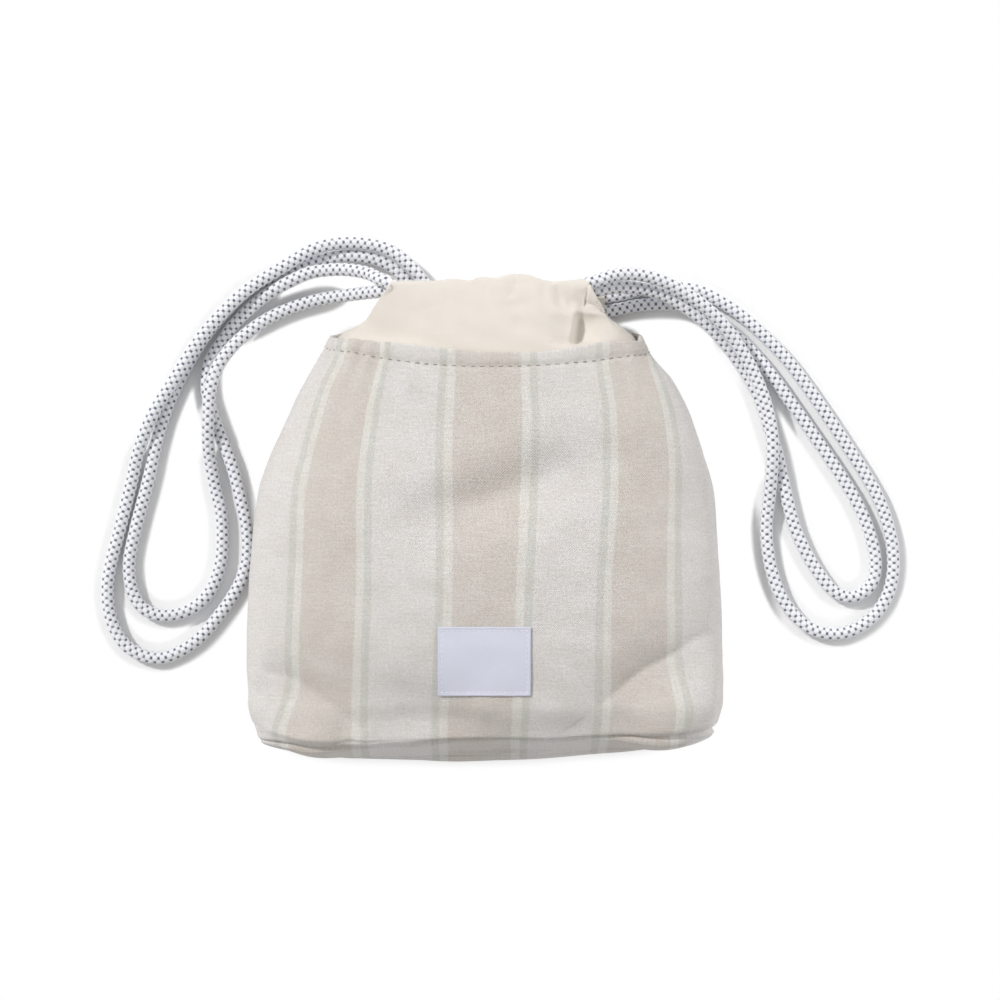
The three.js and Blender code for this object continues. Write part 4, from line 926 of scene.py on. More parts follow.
def bag_half(front):
    """The outer face of one half of the bag: its grid, its outward normals and its flat places."""
    rows, flat_across = [], []
    for share in BASE_ROWS:
        angles = even_angles(0.0, front, OUTER_COLUMNS)
        rows.append(base_points(angles, 1 + share, front))
        flat_across.append(stripe_place(rows[-1], 0.0))
    for share in WALL_ROWS:
        angles = even_angles(share, front, OUTER_COLUMNS)
        rows.append(wall_points(angles, share, front))
        flat_across.append(stripe_place(rows[-1], share))
    grid, flat_across = np.array(rows), np.array(flat_across)
    middle_along = lengths_along(grid[:, OUTER_COLUMNS // 2])
    edge_row = len(BASE_ROWS)
    grid = tuck_corners(soften_edge(grid, middle_along, edge_row))
    side = 1 if front else -1
    normals = side * grid_normals(grid)
    x, y = grid[..., 0], grid[..., 1]
    share = np.concatenate([BASE_ROWS, WALL_ROWS])[:, None]
    from_base = middle_along[:, None]
    from_edge = from_base - middle_along[edge_row]
    from_hem = middle_along[-1] - from_base
    from_left = np.array([lengths_along(row) for row in grid])
    from_seam = np.minimum(from_left, from_left[:, -1:] - from_left)
    if front:
        depth = front_depths(x, y, share, from_edge, from_hem, from_seam, from_base, flat_across)
    else:
        depth = ripples(x, y, *BACK_RIPPLES) * smoothstep(grid[..., 2], *BACK_RIPPLE_HEIGHTS)
    wall = share > 0
    pucker = 1 + HEM_PUCKER * np.cos(2 * math.pi * flat_across / sizes().stitch_pitch)
    dip = HEM_DIP_DEPTH * pucker * np.exp(-((from_hem - HEM_STITCH_DROP) / HEM_DIP_WIDTH) ** 2)
    depth -= np.where(wall, dip, 0)
    puff = HEM_PUFF * np.exp(-((from_hem - HEM_STITCH_DROP / 2) / HEM_PUFF_WIDTH) ** 2)
    depth += np.where(wall, puff, 0)
    seam_depth = SEAM_GROOVE_DEPTH * (1 - SEAM_GROOVE_FADE * smoothstep(share, *SEAM_GROOVE_FADE_PART))
    side_groove = seam_depth * np.exp(-(from_seam / SEAM_GROOVE_WIDTH) ** 2)
    base_groove = SEAM_GROOVE_DEPTH * np.exp(-(from_base / SEAM_GROOVE_WIDTH) ** 2)
    depth -= np.maximum(side_groove, base_groove)
    grid = grid + normals * depth[..., None]
    if not front:
        grid[..., 2] = np.maximum(grid[..., 2], 0.0)
    normals = side * grid_normals(grid)
    flat = np.stack([flat_across, np.broadcast_to(from_base, flat_across.shape)], axis=-1)
    return grid, normals, flat


def cloth_thickness(flat):
    """The outer cloth's thickness, which doubles where it is turned at the hem."""
    from_hem = flat[-1, 0, 1] - flat[..., 1]
    turned = 1 - smoothstep(from_hem, HEM_TURN - OUTER_CLOTH, HEM_TURN)
    return OUTER_CLOTH + (HEM_CLOTH - OUTER_CLOTH) * turned


def make_cloth_half(name, front, node, cloth):
    """One half of the bag's outer cloth."""
    grid, normals, flat = bag_half(front)
    inner = grid - normals * cloth_thickness(flat)[..., None]
    piece = make_piece(name, *sheet_parts(grid, inner, flat), cloth)
    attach(piece, "bag")
    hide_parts(node)
    return piece


def make_lining_half(name, front, node, cotton):
    """One half of the lining, from the base seam to the turned hem. It takes every second point of
    the outer cloth, and near the base it is drawn in, clear of the creases."""
    grid, normals, flat = bag_half(front)
    keep = flat[:, 0, 1] < flat[-1, 0, 1] - HEM_TURN - LINING_HEM_GAP
    rows = np.flatnonzero(keep)[2::2]
    take = np.ix_(rows, np.arange(2, OUTER_COLUMNS - 2, 2))
    grid, normals, flat = grid[take], normals[take], flat[take]
    near_base = 1 - smoothstep(flat[..., 1], 0.0, LINING_BASE_REACH)
    middle = np.array([0.0, 0.0, LINING_MIDDLE_HEIGHT])
    scale = 1 - (1 - np.array(LINING_BASE_SCALE)) * near_base[..., None]
    outer = middle + (grid - normals * LINING_GAP - middle) * scale
    inner = outer - normals * LINING_CLOTH
    piece = make_piece(name, *sheet_parts(outer, inner, flat, rim_steps=1), cotton)
    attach(piece, "bag")
    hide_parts(node)
    return piece


# The gathered collar: a grid whose rows run up the cloth that is tucked in the hem, the skirt and
# the sleeve round the cords, and whose columns run across it, with a free wing on each side.
CHANNEL_COLUMNS = 240
WING_COLUMNS = 36
TUCK_ROWS = 9
SKIRT_ROWS = 50
SLEEVE_ROWS = 64
JOIN_ROW = TUCK_ROWS + SKIRT_ROWS - 1
HEM_COLUMNS = 400
# The part of the collar's width that goes into the channel.
FRONT_REACH = (0.13, 0.87)
BACK_REACH = (0.4, 0.86)
# The low ends of the slits beside the cords, and how far the slit's middle sags.
SLIT_LEFT = (-0.047, 0.092, 0.009)
SLIT_RIGHT = (0.054, 0.0905, 0.009)
SLIT_SAG = 0.002
# How far the skirt swings out above the hem, and the share of that at its sides.
FRONT_SWING = 0.01
BACK_SWING = 0.002
WING_SWING_SHARE = 0.36
# Angles round the outer cord at which the skirt meets the channel, the channel closes, and the slit
# passes the cord.
LEAVING_ANGLE = 104
CLOSING_ANGLE = 20
SLIT_ANGLE = 15
BACK_CHANNEL_SPREAD = 60
ARC_STEPS = 24
# The rows where the skirt joins the channel are rounded off, but for the columns at its ends.
JOIN_SMOOTHING = 24
JOIN_SMOOTHED_ROWS = 12
JOIN_FADE_COLUMNS = 14
# The folds begin above the tuck and end where the sleeve turns out of sight.
SLEEVE_TURN_ROWS = 24
SLEEVE_SEEN = (0.35, 0.75)
FREE_ROWS = (TUCK_ROWS - 2, TUCK_ROWS + 10)
# Creases are held to a small depth by the channel and to a larger one on the skirt.
CHANNEL_DEPTH_LIMIT = 0.0009
CHANNEL_LIMIT_ROWS = 7
SKIRT_LIMIT_ROWS = 20
SKIRT_DEPTH_LIMIT = 0.009
COLLAR_FRONT_RIPPLES = (21, 6, 0.008, 0.02, 0.00022)
COLLAR_BACK_RIPPLES = (22, 6, 0.008, 0.02, 0.0002)
COLLAR_FLOOR_GAP = 0.003
FRILL_SOFTENING = (-0.0012, -0.0006, 0.0, 0.0006, 0.0012)

# How far the front channel's frill stands out past the cords, at values of x.
FRILL = (
    (-0.0415, -0.0006), (-0.036, -0.0006), (-0.0326, -0.0005), (-0.0255, -0.0006), (-0.0163, 0.0008),
    (-0.0105, 0.0004), (-0.0061, -0.0005), (-0.0026, 0.0024), (0.001, 0.0015), (0.0054, 0.0008),
    (0.0095, 0.0024), (0.0133, 0.0039), (0.0204, 0.0025), (0.0255, 0.0006), (0.0297, -0.0005),
    (0.036, -0.0002), (0.0425, 0.0008), (0.046, 0.0004),
)
# Creases and folds of the front of the collar, in the same terms as those of the bag. The first
# crease is a steep pocket.
COLLAR_CREASES = (
    (((0.0412, 0.0772), (0.0426, 0.086), (0.0437, 0.0925)), 0.0105, 0.0046, 0.0012, 0.2, True),
    (((0.0436, 0.094), (0.0427, 0.097), (0.0408, 0.1008)), 0.0026, 0.0034, 0.0012, 0.3),
    (((0.0385, 0.0915), (0.0372, 0.0965), (0.0354, 0.1012)), 0.0016, 0.0036, 0.0012, 0.5),
    (((0.0103, 0.0985), (0.0122, 0.1025), (0.0142, 0.1078)), 0.0016, 0.0018, 0.0012, 0.5),
    (((0.0007, 0.101), (-0.001, 0.1045), (-0.0036, 0.108)), 0.0014, 0.0016, 0.0012, 0.5),
)
COLLAR_FOLDS = (
    (((0.0275, 0.094), (0.033, 0.0915), (0.0385, 0.0872)), 0.0012, 0.002, 0.003),
    (((0.0345, 0.078), (0.0355, 0.085), (0.0345, 0.092)), -0.0012, 0.007, 0.003),
    (((0.031, 0.1045), (0.0345, 0.094)), -0.0014, 0.0018, 0.0024),
    (((0.0255, 0.106), (0.0262, 0.0965)), -0.0008, 0.002, 0.002),
    (((-0.06, 0.0785), (-0.045, 0.0805), (-0.026, 0.082)), -0.0028, 0.0095, 0.004),
    (((0.004, 0.0935), (0.0125, 0.095), (0.0215, 0.0965)), -0.0007, 0.0022, 0.0035),
    (((0.0138, 0.091), (0.0145, 0.081)), -0.0006, 0.004, 0.004),
    (((-0.026, 0.1035), (-0.024, 0.094)), 0.0006, 0.006, 0.006),
    (((0.028, 0.0795), (0.036, 0.0775), (0.05, 0.0768)), -0.0018, 0.0035, 0.002),
)


def turn_round(middle, axis, side, start, end, steps):
    """Points of an arc of the channel round one cord, by angles in degrees from its side."""
    turns = np.radians(np.linspace(start, end, steps))[:, None]
    return middle + CHANNEL_RADIUS * (np.cos(turns) * side + np.sin(turns) * axis)


def channel_profile(front):
    """The (y, z) line of the cloth round both cords, from where it leaves the skirt."""
    inner, outer = np.array(FRONT_LINES if front else BACK_LINES)
    axis = unit(outer - inner)
    if front:
        side = np.array([-axis[1], axis[0]])
        arcs = ((outer, LEAVING_ANGLE, 180, 16), (inner, 180, 360, ARC_STEPS), (outer, 0, CLOSING_ANGLE, 4))
    else:
        side = np.array([axis[1], -axis[0]])
        spread = BACK_CHANNEL_SPREAD
        arcs = ((inner, -spread, 0, 8), (outer, 0, 180, ARC_STEPS), (inner, 180, 180 + spread, 8))
    profile = np.vstack([turn_round(cord, axis, side, *arc) for cord, *arc in arcs])
    profile = np.column_stack([np.zeros(len(profile)), profile])
    return spaced_line(profile, SLEEVE_ROWS)[:, 1:]


def slit_line(front, left):
    """The free edge of the collar beside the cords, from its low end to the channel."""
    low = np.array(SLIT_LEFT if left else SLIT_RIGHT)
    channel = FRONT_CHANNEL if front else BACK_CHANNEL
    high = np.array([channel[0 if left else 1], *channel_profile(front)[0]])
    if not front:
        return spaced_line(smooth_line([low, (low + high) / 2, high]), WING_COLUMNS)
    inner, outer = np.array(FRONT_LINES)
    axis = unit(outer - inner)
    beside = turn_round(outer, axis, np.array([-axis[1], axis[0]]), SLIT_ANGLE, SLIT_ANGLE, 1)[0]
    beside = np.array([high[0], *beside])
    middle = (low + beside) / 2 - np.array([0.0, 0.0, SLIT_SAG])
    return spaced_line(smooth_line([low, middle, beside, high]), WING_COLUMNS)


def collar_half(front):
    """The cloth of one half of the collar before it is folded: a grid of points, the places of its
    columns across it from 0 to 1, and the first and last column of the channel."""
    reach = FRONT_REACH if front else BACK_REACH
    channel = FRONT_CHANNEL if front else BACK_CHANNEL
    profile = channel_profile(front)
    q = np.concatenate([
        np.linspace(0, reach[0], WING_COLUMNS)[:-1], np.linspace(*reach, CHANNEL_COLUMNS),
        np.linspace(reach[1], 1, WING_COLUMNS)[1:],
    ])
    first, last = WING_COLUMNS - 1, WING_COLUMNS + CHANNEL_COLUMNS - 2
    shares = np.linspace(1 - COLLAR_TUCK / BAG_LENGTH, 1, TUCK_ROWS)
    wall = np.array([
        wall_points(even_angles(share, front, HEM_COLUMNS), share, front) for share in shares
    ])
    wall = wall - (1 if front else -1) * grid_normals(wall) * COLLAR_GAP
    places = np.linspace(0, 1, HEM_COLUMNS)
    tuck = np.stack([
        np.stack([np.interp(q, places, line[:, k]) for k in range(3)], axis=1) for line in wall
    ])
    leaving = unit(tuck[-1] - tuck[-2])
    channel_x = np.linspace(*channel, CHANNEL_COLUMNS)
    join = np.column_stack([channel_x, np.tile(profile[0], (CHANNEL_COLUMNS, 1))])
    ends = np.vstack([slit_line(front, True)[:-1], join, slit_line(front, False)[::-1][1:]])
    swing = FRONT_SWING if front else BACK_SWING
    near_side = np.minimum(q / reach[0], (1 - q) / (1 - reach[1]))
    swing = swing * (WING_SWING_SHARE + (1 - WING_SWING_SHARE) * smoothstep(near_side, 0.0, 1.0))
    hem = tuck[-1]
    bend = hem + leaving * swing[:, None]
    t = np.linspace(0, 1, SKIRT_ROWS)[1:, None, None]
    skirt = (1 - t) ** 2 * hem + 2 * t * (1 - t) * bend + t * t * ends
    sleeve = np.repeat(ends[None], SLEEVE_ROWS - 1, axis=0)
    sleeve[:, first:last + 1, 1:] = profile[1:, None, :]
    return np.concatenate([tuck, skirt, sleeve]), q, first, last


def collar_normals(grid, front, first, last):
    """Outward normals of the collar's grid, whose channel rows have no cloth beside them."""
    side = 1 if front else -1
    normals = side * grid_normals(grid)
    normals[JOIN_ROW:, first:last + 1] = side * grid_normals(grid[:, first:last + 1])[JOIN_ROW:]
    return normals


def shape_collar(grid, q, first, last, front):
    """The collar's grid with its folds, gathers and frill."""
    column = np.arange(len(q))
    inside = smoothstep(np.minimum(column - first, last - column), 0, JOIN_FADE_COLUMNS)[None, :, None]
    row = np.arange(len(grid))[:, None]
    if front:
        near = inside * (np.abs(row - JOIN_ROW) < JOIN_SMOOTHED_ROWS)[..., None]
        for _ in range(JOIN_SMOOTHING):
            grid = grid + (softened_rows(grid) - grid) * near
    normals = collar_normals(grid, front, first, last)
    x, y = grid[..., 0], grid[..., 1]
    free = smoothstep(row, *FREE_ROWS)
    turned = np.clip((row - JOIN_ROW) / SLEEVE_TURN_ROWS, 0, 1)
    seen = np.where(row > JOIN_ROW, 1 - smoothstep(turned, *SLEEVE_SEEN), 1.0)
    depth = np.zeros(x.shape)
    if front:
        for path, height, left_width, right_width in COLLAR_FOLDS:
            depth += free * seen * fold(x, y, path, height, left_width, right_width)
        from_channel = JOIN_ROW - CHANNEL_LIMIT_ROWS - row
        on_skirt = smoothstep(from_channel, 0, SKIRT_LIMIT_ROWS)
        limit = CHANNEL_DEPTH_LIMIT + SKIRT_DEPTH_LIMIT * on_skirt
        for path, *shape in COLLAR_CREASES:
            depth += free * seen * limit * np.tanh(crease(x, y, path, *shape) / limit)
        depth += ripples(x, y, *COLLAR_FRONT_RIPPLES) * free
        frill_x, frill_out = np.transpose(FRILL)
        out = np.mean([np.interp(x + shift, frill_x, frill_out) for shift in FRILL_SOFTENING], axis=0)
        depth += np.where(row > JOIN_ROW, out * np.sin(math.pi * turned) ** 2, 0)
    else:
        depth += ripples(x, y, *COLLAR_BACK_RIPPLES) * free * (grid[..., 2] > COLLAR_FLOOR_GAP)
    shaped = grid + normals * depth[..., None]
    shaped[..., 2] = np.maximum(shaped[..., 2], 0.0)
    return shaped


def make_collar_half(name, front, node, cotton):
    """One half of the collar: a gathered skirt that ends in the channel round both cords."""
    grid, q, first, last = collar_half(front)
    shaped = shape_collar(grid, q, first, last, front)
    middle = shaped[:, (first + last) // 2]
    across, along = q[None, :] * COLLAR_WIDTH, lengths_along(middle)[:, None]
    flat = np.stack(np.broadcast_arrays(across, along), axis=-1)
    rows, columns = shaped.shape[:2]
    quads = grid_quads(rows, columns).reshape(rows - 1, columns - 1, 4)
    quads = np.vstack([quads[:JOIN_ROW].reshape(-1, 4), quads[JOIN_ROW:, first:last].reshape(-1, 4)])
    used, numbers = np.unique(quads, return_inverse=True)
    quads = numbers.reshape(-1, 4)
    if not front:
        quads = quads[:, ::-1]
    piece = make_piece(name, shaped.reshape(-1, 3)[used], quads, flat.reshape(-1, 2)[used], cotton)
    thick = piece.modifiers.new("thickness", "SOLIDIFY")
    thick.thickness = COLLAR_CLOTH
    thick.offset = -1.0
    apply_modifiers(piece)
    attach(piece, "bag")
    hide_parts(node)
    return piece


# The cords.
CORD_SIDES = 32
CORD_STEP = 0.00045
# How far from its end a cord is rounded off, and the least share of its radius squared there.
CORD_END_ROUNDING = 0.0012
CORD_END_LEAST = 0.02
# How high a strand of the braid is where another crosses it, and how flat its back is.
STRAND_LOW = 0.6
STRAND_FLATNESS = 0.8


def cord_line(ring, side):
    """The middle line of one side of a cord ring, from its end in the back channel to the front one."""
    back_end, front_end = CORD_ENDS[side]
    number = 0 if ring == "inner" else 1
    route = CORD_ROUTES[f"{ring}_{side}"]
    inward = CORD_LEAD_IN if side == "left" else -CORD_LEAD_IN
    points = []
    for end, line, hand in (
        (back_end, BACK_LINES[number], route[0]), (front_end, FRONT_LINES[number], route[-1]),
    ):
        near = hand[0] + inward
        points.append([(x, *line) for x in (end, (end + near) / 2, near)])
    return smooth_line(points[0] + list(route) + points[1][::-1])


def braid_height(around, along):
    """How far the braid's strands stand out, from 0 to 1, at columns round and pitches along it."""
    first, second = around / 2 + along, around / 2 - along
    over = (np.floor(first) + np.floor(second)) % 2 < 1
    rise_first, rise_second = np.abs(np.sin(np.pi * first)), np.abs(np.sin(np.pi * second))
    lower = np.minimum(rise_first, rise_second)
    strand = np.where(
        over, rise_first * (STRAND_LOW + (1 - STRAND_LOW) * rise_second),
        rise_second * (STRAND_LOW + (1 - STRAND_LOW) * rise_first),
    )
    return np.maximum(strand ** STRAND_FLATNESS, lower)


def make_tube(name, line, braid):
    """A braided cord along a line, with closed ends. Returns the piece and its middle line."""
    count = max(int(lengths_along(line)[-1] / CORD_STEP), 8)
    line = spaced_line(line, count)
    along = lengths_along(line)
    ahead = unit(np.gradient(line, axis=0))
    side = unit(np.cross(ahead[0], (0.0, 0.0, 1.0)))
    sides = [side]
    for i in range(1, count):
        side = unit(side - ahead[i] * (side @ ahead[i]))
        sides.append(side)
    sides = np.array(sides)
    ups = np.cross(ahead, sides)
    size = sizes()
    turns = np.arange(CORD_SIDES + 1) / CORD_SIDES
    around = turns * size.braid_columns
    pitches = along[:, None] / size.braid_pitch
    relief = braid_height(around[None, :], pitches)
    radius = CORD_DIAMETER / 2 - size.braid_relief * (1 - relief)
    ends = np.clip(np.minimum(along, along[-1] - along) / CORD_END_ROUNDING, 0, 1)
    radius = radius * np.sqrt(np.clip(1 - (1 - ends) ** 2, CORD_END_LEAST, 1))[:, None]
    angle = turns * 2 * math.pi
    cosine, sine = np.cos(angle)[None, :, None], np.sin(angle)[None, :, None]
    ring = cosine * sides[:, None, :] + sine * ups[:, None, :]
    points = line[:, None, :] + ring[:, :-1] * radius[:, :-1, None]
    index = np.arange(count * CORD_SIDES).reshape(count, CORD_SIDES)
    following = np.roll(index, -1, axis=1)
    quads = np.stack([index[:-1], following[:-1], following[1:], index[1:]], axis=-1).reshape(-1, 4)
    corner = np.stack([
        np.stack(np.broadcast_arrays(a, b), axis=-1) for a, b in (
            (around[None, :-1], pitches[:-1]), (around[None, 1:], pitches[:-1]),
            (around[None, 1:], pitches[1:]), (around[None, :-1], pitches[1:]),
        )
    ], axis=2).reshape(-1, 2)
    points = points.reshape(-1, 3)
    caps = [list(index[0][::-1]), list(index[-1])]
    if enclosed_volume(points, quads) < 0:
        raise RuntimeError(f"{name} is inside out")
    mesh = bpy.data.meshes.new(name)
    mesh.from_pydata(points.tolist(), [], quads.tolist() + caps)
    lay_cloth_map(mesh, np.vstack([corner, [(0.5, 0.0)] * (2 * CORD_SIDES)]))
    mesh.polygons.foreach_set("use_smooth", np.ones(len(mesh.polygons), bool))
    mesh.materials.append(braid)
    mesh.update()
    return link_object(name, mesh), line


def make_ring_side(ring, side, braid):
    """The free part of one cord ring on one side, from channel to channel."""
    name = f"{ring}_cord_{side}"
    piece, line = make_tube(name, cord_line(ring, side), braid)
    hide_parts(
        f"{ring}_tail_back_{side}", f"{ring}_loop_{side}", f"{ring}_tail_front_{side}",
    )
    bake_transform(piece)
    float(lengths_along(line)[-1])
    return piece


def make_hidden_cords(braid):
    """The stretches of cord inside the channels and their stitched joints."""
    for number, ring in enumerate(("inner", "outer")):
        front, back = FRONT_LINES[number], BACK_LINES[number]
        for label, ends, place, node, slot in (
            ("front_run", FRONT_RUN, front, f"{ring}_cord_front_run", "braided_cord"),
            ("splice", BACK_SPLICE, back, f"{ring}_cord_splice", "cord_splice"),
        ):
            line = np.array([(ends[0], *place), ((ends[0] + ends[1]) / 2, *place), (ends[1], *place)])
            piece, _ = make_tube(f"{ring}_cord_{label}", line, braid)
            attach(piece, "bag")
            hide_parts(node)


# The label.
LABEL_LEFT, LABEL_RIGHT = -0.0198, 0.0196
LABEL_BOTTOM, LABEL_TOP = -0.0748, -0.0455
LABEL_STEP = 0.0006
LABEL_STITCH_INSET = 0.0013
LABEL_LIFT = 0.00015
# The label stands up at its edge and is drawn down by its stitches, as (height, width).
LABEL_EDGE = (0.0003, 0.0009)
LABEL_STITCH_DIP = (0.00012, 0.0006)
LABEL_RIPPLES = (31, 5, 0.012, 0.03, 0.00008)
RAY_HEIGHT = 0.2


def front_surface():
    """Height and normal of the bag's outer front face, as functions of x and y."""
    grid, normals, _ = bag_half(True)
    tree = BVHTree.FromPolygons(grid.reshape(-1, 3).tolist(), grid_quads(*grid.shape[:2]).tolist())

    def find(x, y):
        place, normal, _, _ = tree.ray_cast(Vector((x, y, RAY_HEIGHT)), Vector((0, 0, -1)))
        if place is None:
            raise RuntimeError(f"no cloth under {x:.4f}, {y:.4f}")
        return np.array(place), np.array(normal if normal.z > 0 else -normal)

    return find


def make_label(satin):
    """The blank woven label, laid on the front of the bag."""
    find = front_surface()
    columns = int((LABEL_RIGHT - LABEL_LEFT) / LABEL_STEP) + 1
    rows = int((LABEL_TOP - LABEL_BOTTOM) / LABEL_STEP) + 1
    xs = np.linspace(LABEL_LEFT, LABEL_RIGHT, columns)
    ys = np.linspace(LABEL_BOTTOM, LABEL_TOP, rows)
    seat, up = np.zeros((rows, columns, 3)), np.zeros((rows, columns, 3))
    for r, y in enumerate(ys):
        for c, x in enumerate(xs):
            seat[r, c], up[r, c] = find(x, y)
    x, y = seat[..., 0], seat[..., 1]
    from_side = np.minimum(x - LABEL_LEFT, LABEL_RIGHT - x)
    from_end = np.minimum(y - LABEL_BOTTOM, LABEL_TOP - y)
    from_edge = np.minimum(from_side, from_end)
    lift = LABEL_LIFT + LABEL_EDGE[0] * np.exp(-from_edge / LABEL_EDGE[1])
    from_stitches = (from_edge - LABEL_STITCH_INSET) / LABEL_STITCH_DIP[1]
    lift = lift - LABEL_STITCH_DIP[0] * np.exp(-from_stitches ** 2)
    lift = lift + ripples(x, y, *LABEL_RIPPLES)
    lower = seat + up * lift[..., None]
    upper = lower + up * sizes().label_thickness
    flat = np.stack([x, y], axis=-1)
    piece = make_piece("woven_label", *sheet_parts(upper, lower, flat), satin)
    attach(piece, "bag")
    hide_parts("label")
    return piece


# The stitches. Each kind has its pitch, length, width and rise in metres and the seed of its
# unevenness.
LABEL_STITCH = {"Pitch": 0.0022, "Length": 0.0018, "Width": 0.0003, "Rise": 0.0003, "Seed": 5}
CHANNEL_STITCH = {"Pitch": 0.003, "Length": 0.0022, "Width": 0.0003, "Rise": 0.00028, "Seed": 7}
SEAM_STITCH = {"Pitch": 0.003, "Length": 0.0026, "Width": 0.0004, "Rise": 0.0004}
HEM_STITCH_RISE = 0.0004
HEM_STITCH_SEED = 3
HEM_STITCH_LIFT = 0.00004
LABEL_STITCH_SINK = 0.00008
LABEL_STITCH_POINTS = 24
# How many rows below the channel's join its stitches run, and how far they sink into the cloth.
CHANNEL_STITCH_ROWS = 4
CHANNEL_STITCH_SINK = {"front": 0.00024, "back": 0.00006}
CHANNEL_STITCH_LEAST_HEIGHT = 0.0005
# How far behind the grooves the seams run, and which parts of the bag they reach.
SEAM_INSET = 0.0006
SIDE_SEAM_PART = (0.03, 0.985)
SIDE_SEAM_POINTS = 60
BASE_SEAM_POINTS = 80
BASE_SEAM_MARGIN = 14
CORNER_SEAM_GAP = 0.0002
CORNER_SEAM_TURNS = (0.5, 0.02)
CORNER_SEAM_POINTS = 14
CORNER_SEAM_SHARES = (0.05, 0.07)


def stitch_tree():
    """A node tree that lays single stitches along the lines of a mesh with an "up" attribute."""
    tree = bpy.data.node_groups.new("stitches", "GeometryNodeTree")
    face = tree.interface
    face.new_socket("Geometry", in_out="INPUT", socket_type="NodeSocketGeometry")
    for name, kind, value in (
        ("Pitch", "NodeSocketFloat", 0.004), ("Length", "NodeSocketFloat", 0.003),
        ("Width", "NodeSocketFloat", 0.0005), ("Rise", "NodeSocketFloat", 0.0004),
        ("Unevenness", "NodeSocketFloat", 0.08), ("Seed", "NodeSocketInt", 1),
    ):
        face.new_socket(name, in_out="INPUT", socket_type=kind).default_value = value
    face.new_socket("Thread", in_out="INPUT", socket_type="NodeSocketMaterial")
    face.new_socket("Geometry", in_out="OUTPUT", socket_type="NodeSocketGeometry")

    def add(kind, inputs=None, **settings):
        return add_node(tree, kind, inputs, **settings)

    def times(value, factor):
        return add("ShaderNodeMath", {0: value, 1: factor}, operation="MULTIPLY").outputs[0]

    def vector(**parts):
        inputs = {name.upper(): value for name, value in parts.items()}
        return add("ShaderNodeCombineXYZ", inputs).outputs[0]

    given = add("NodeGroupInput").outputs
    curve = add("GeometryNodeMeshToCurve", {"Mesh": given["Geometry"]}).outputs[0]
    points = add("GeometryNodeCurveToPoints", {"Curve": curve, "Length": given["Pitch"]}, mode="LENGTH")
    up = add("GeometryNodeInputNamedAttribute", {"Name": "up"}, data_type="FLOAT_VECTOR").outputs[0]
    upright = add("FunctionNodeAlignRotationToVector", {"Vector": up}, axis="Z").outputs[0]
    turned = add(
        "FunctionNodeAlignRotationToVector", {"Rotation": upright, "Vector": points.outputs["Tangent"]},
        axis="X", pivot_axis="Z",
    ).outputs[0]
    half = times(given["Length"], 0.5)
    back = times(half, -1.0)
    sink = times(given["Width"], -0.9)
    start, end = vector(x=back, z=sink), vector(x=half, z=sink)
    start_pull = vector(x=times(back, 0.75), z=given["Rise"])
    end_pull = vector(x=times(half, 0.75), z=given["Rise"])
    bow = add("GeometryNodeCurvePrimitiveBezierSegment", {
        "Resolution": 10, "Start": start, "End": end, "Start Handle": start_pull, "End Handle": end_pull,
    }).outputs[0]
    thin = times(given["Width"], 0.5)
    ring = add("GeometryNodeCurvePrimitiveCircle", {"Resolution": 8, "Radius": thin}).outputs[0]
    stitch = add(
        "GeometryNodeCurveToMesh", {"Curve": bow, "Profile Curve": ring, "Fill Caps": True},
    ).outputs[0]
    least, most = vector(z=times(given["Unevenness"], -1.0)), vector(z=given["Unevenness"])
    random = add(
        "FunctionNodeRandomValue", {0: least, 1: most, "Seed": given["Seed"]}, data_type="FLOAT_VECTOR",
    ).outputs[0]
    placed = add("GeometryNodeInstanceOnPoints", {
        "Points": points.outputs["Points"], "Instance": stitch, "Rotation": turned,
    }).outputs[0]
    varied = add("GeometryNodeRotateInstances", {"Instances": placed, "Rotation": random}).outputs[0]
    real = add("GeometryNodeRealizeInstances", {"Geometry": varied}).outputs[0]
    smooth = add("GeometryNodeSetShadeSmooth", {"Geometry": real}).outputs[0]
    coating = {"Geometry": smooth, "Material": given["Thread"]}
    coated = add("GeometryNodeSetMaterial", coating).outputs[0]
    add("NodeGroupOutput", {"Geometry": coated})
    return tree


def make_stitches(name, node, lines, tree, thread, stitch):
    """Rows of one kind of stitch along lines, each a pair of points and upward normals."""
    points, edges, ups, start = [], [], [], 0
    for line, normals in lines:
        points.append(line)
        ups.append(normals)
        edges += [(start + i, start + i + 1) for i in range(len(line) - 1)]
        start += len(line)
    mesh = bpy.data.meshes.new(name)
    mesh.from_pydata(np.vstack(points).tolist(), edges, [])
    up = mesh.attributes.new("up", "FLOAT_VECTOR", "POINT")
    up.data.foreach_set("vector", np.vstack(ups).astype(np.float32).reshape(-1))
    piece = link_object(name, mesh)
    modifier = piece.modifiers.new("stitches", "NODES")
    modifier.node_group = tree
    values = {**stitch, "Thread": thread}
    for item in tree.interface.items_tree:
        if item.in_out == "INPUT" and item.name in values:
            modifier[item.identifier] = values[item.name]
    apply_modifiers(piece)
    if len(piece.data.polygons) == 0:
        raise RuntimeError(f"{name} has no stitches")
    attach(piece, "bag")
    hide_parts(node)
    return piece


def row_at(grid, normals, flat, place):
    """The points and normals of a grid at a distance along the flat cloth."""
    along = flat[:, 0, 1]
    k = np.clip(np.searchsorted(along, place) - 1, 0, len(along) - 2)
    t = (place - along[k]) / (along[k + 1] - along[k])
    return grid[k] * (1 - t) + grid[k + 1] * t, unit(normals[k] * (1 - t) + normals[k + 1] * t)


def smoothed_row(points, normals, times=3):
    """A line and its normals without their short waves."""
    for _ in range(times):
        points[1:-1] = (points[:-2] + 2 * points[1:-1] + points[2:]) / 4
        normals[1:-1] = unit(normals[:-2] + 2 * normals[1:-1] + normals[2:])
    return points, normals


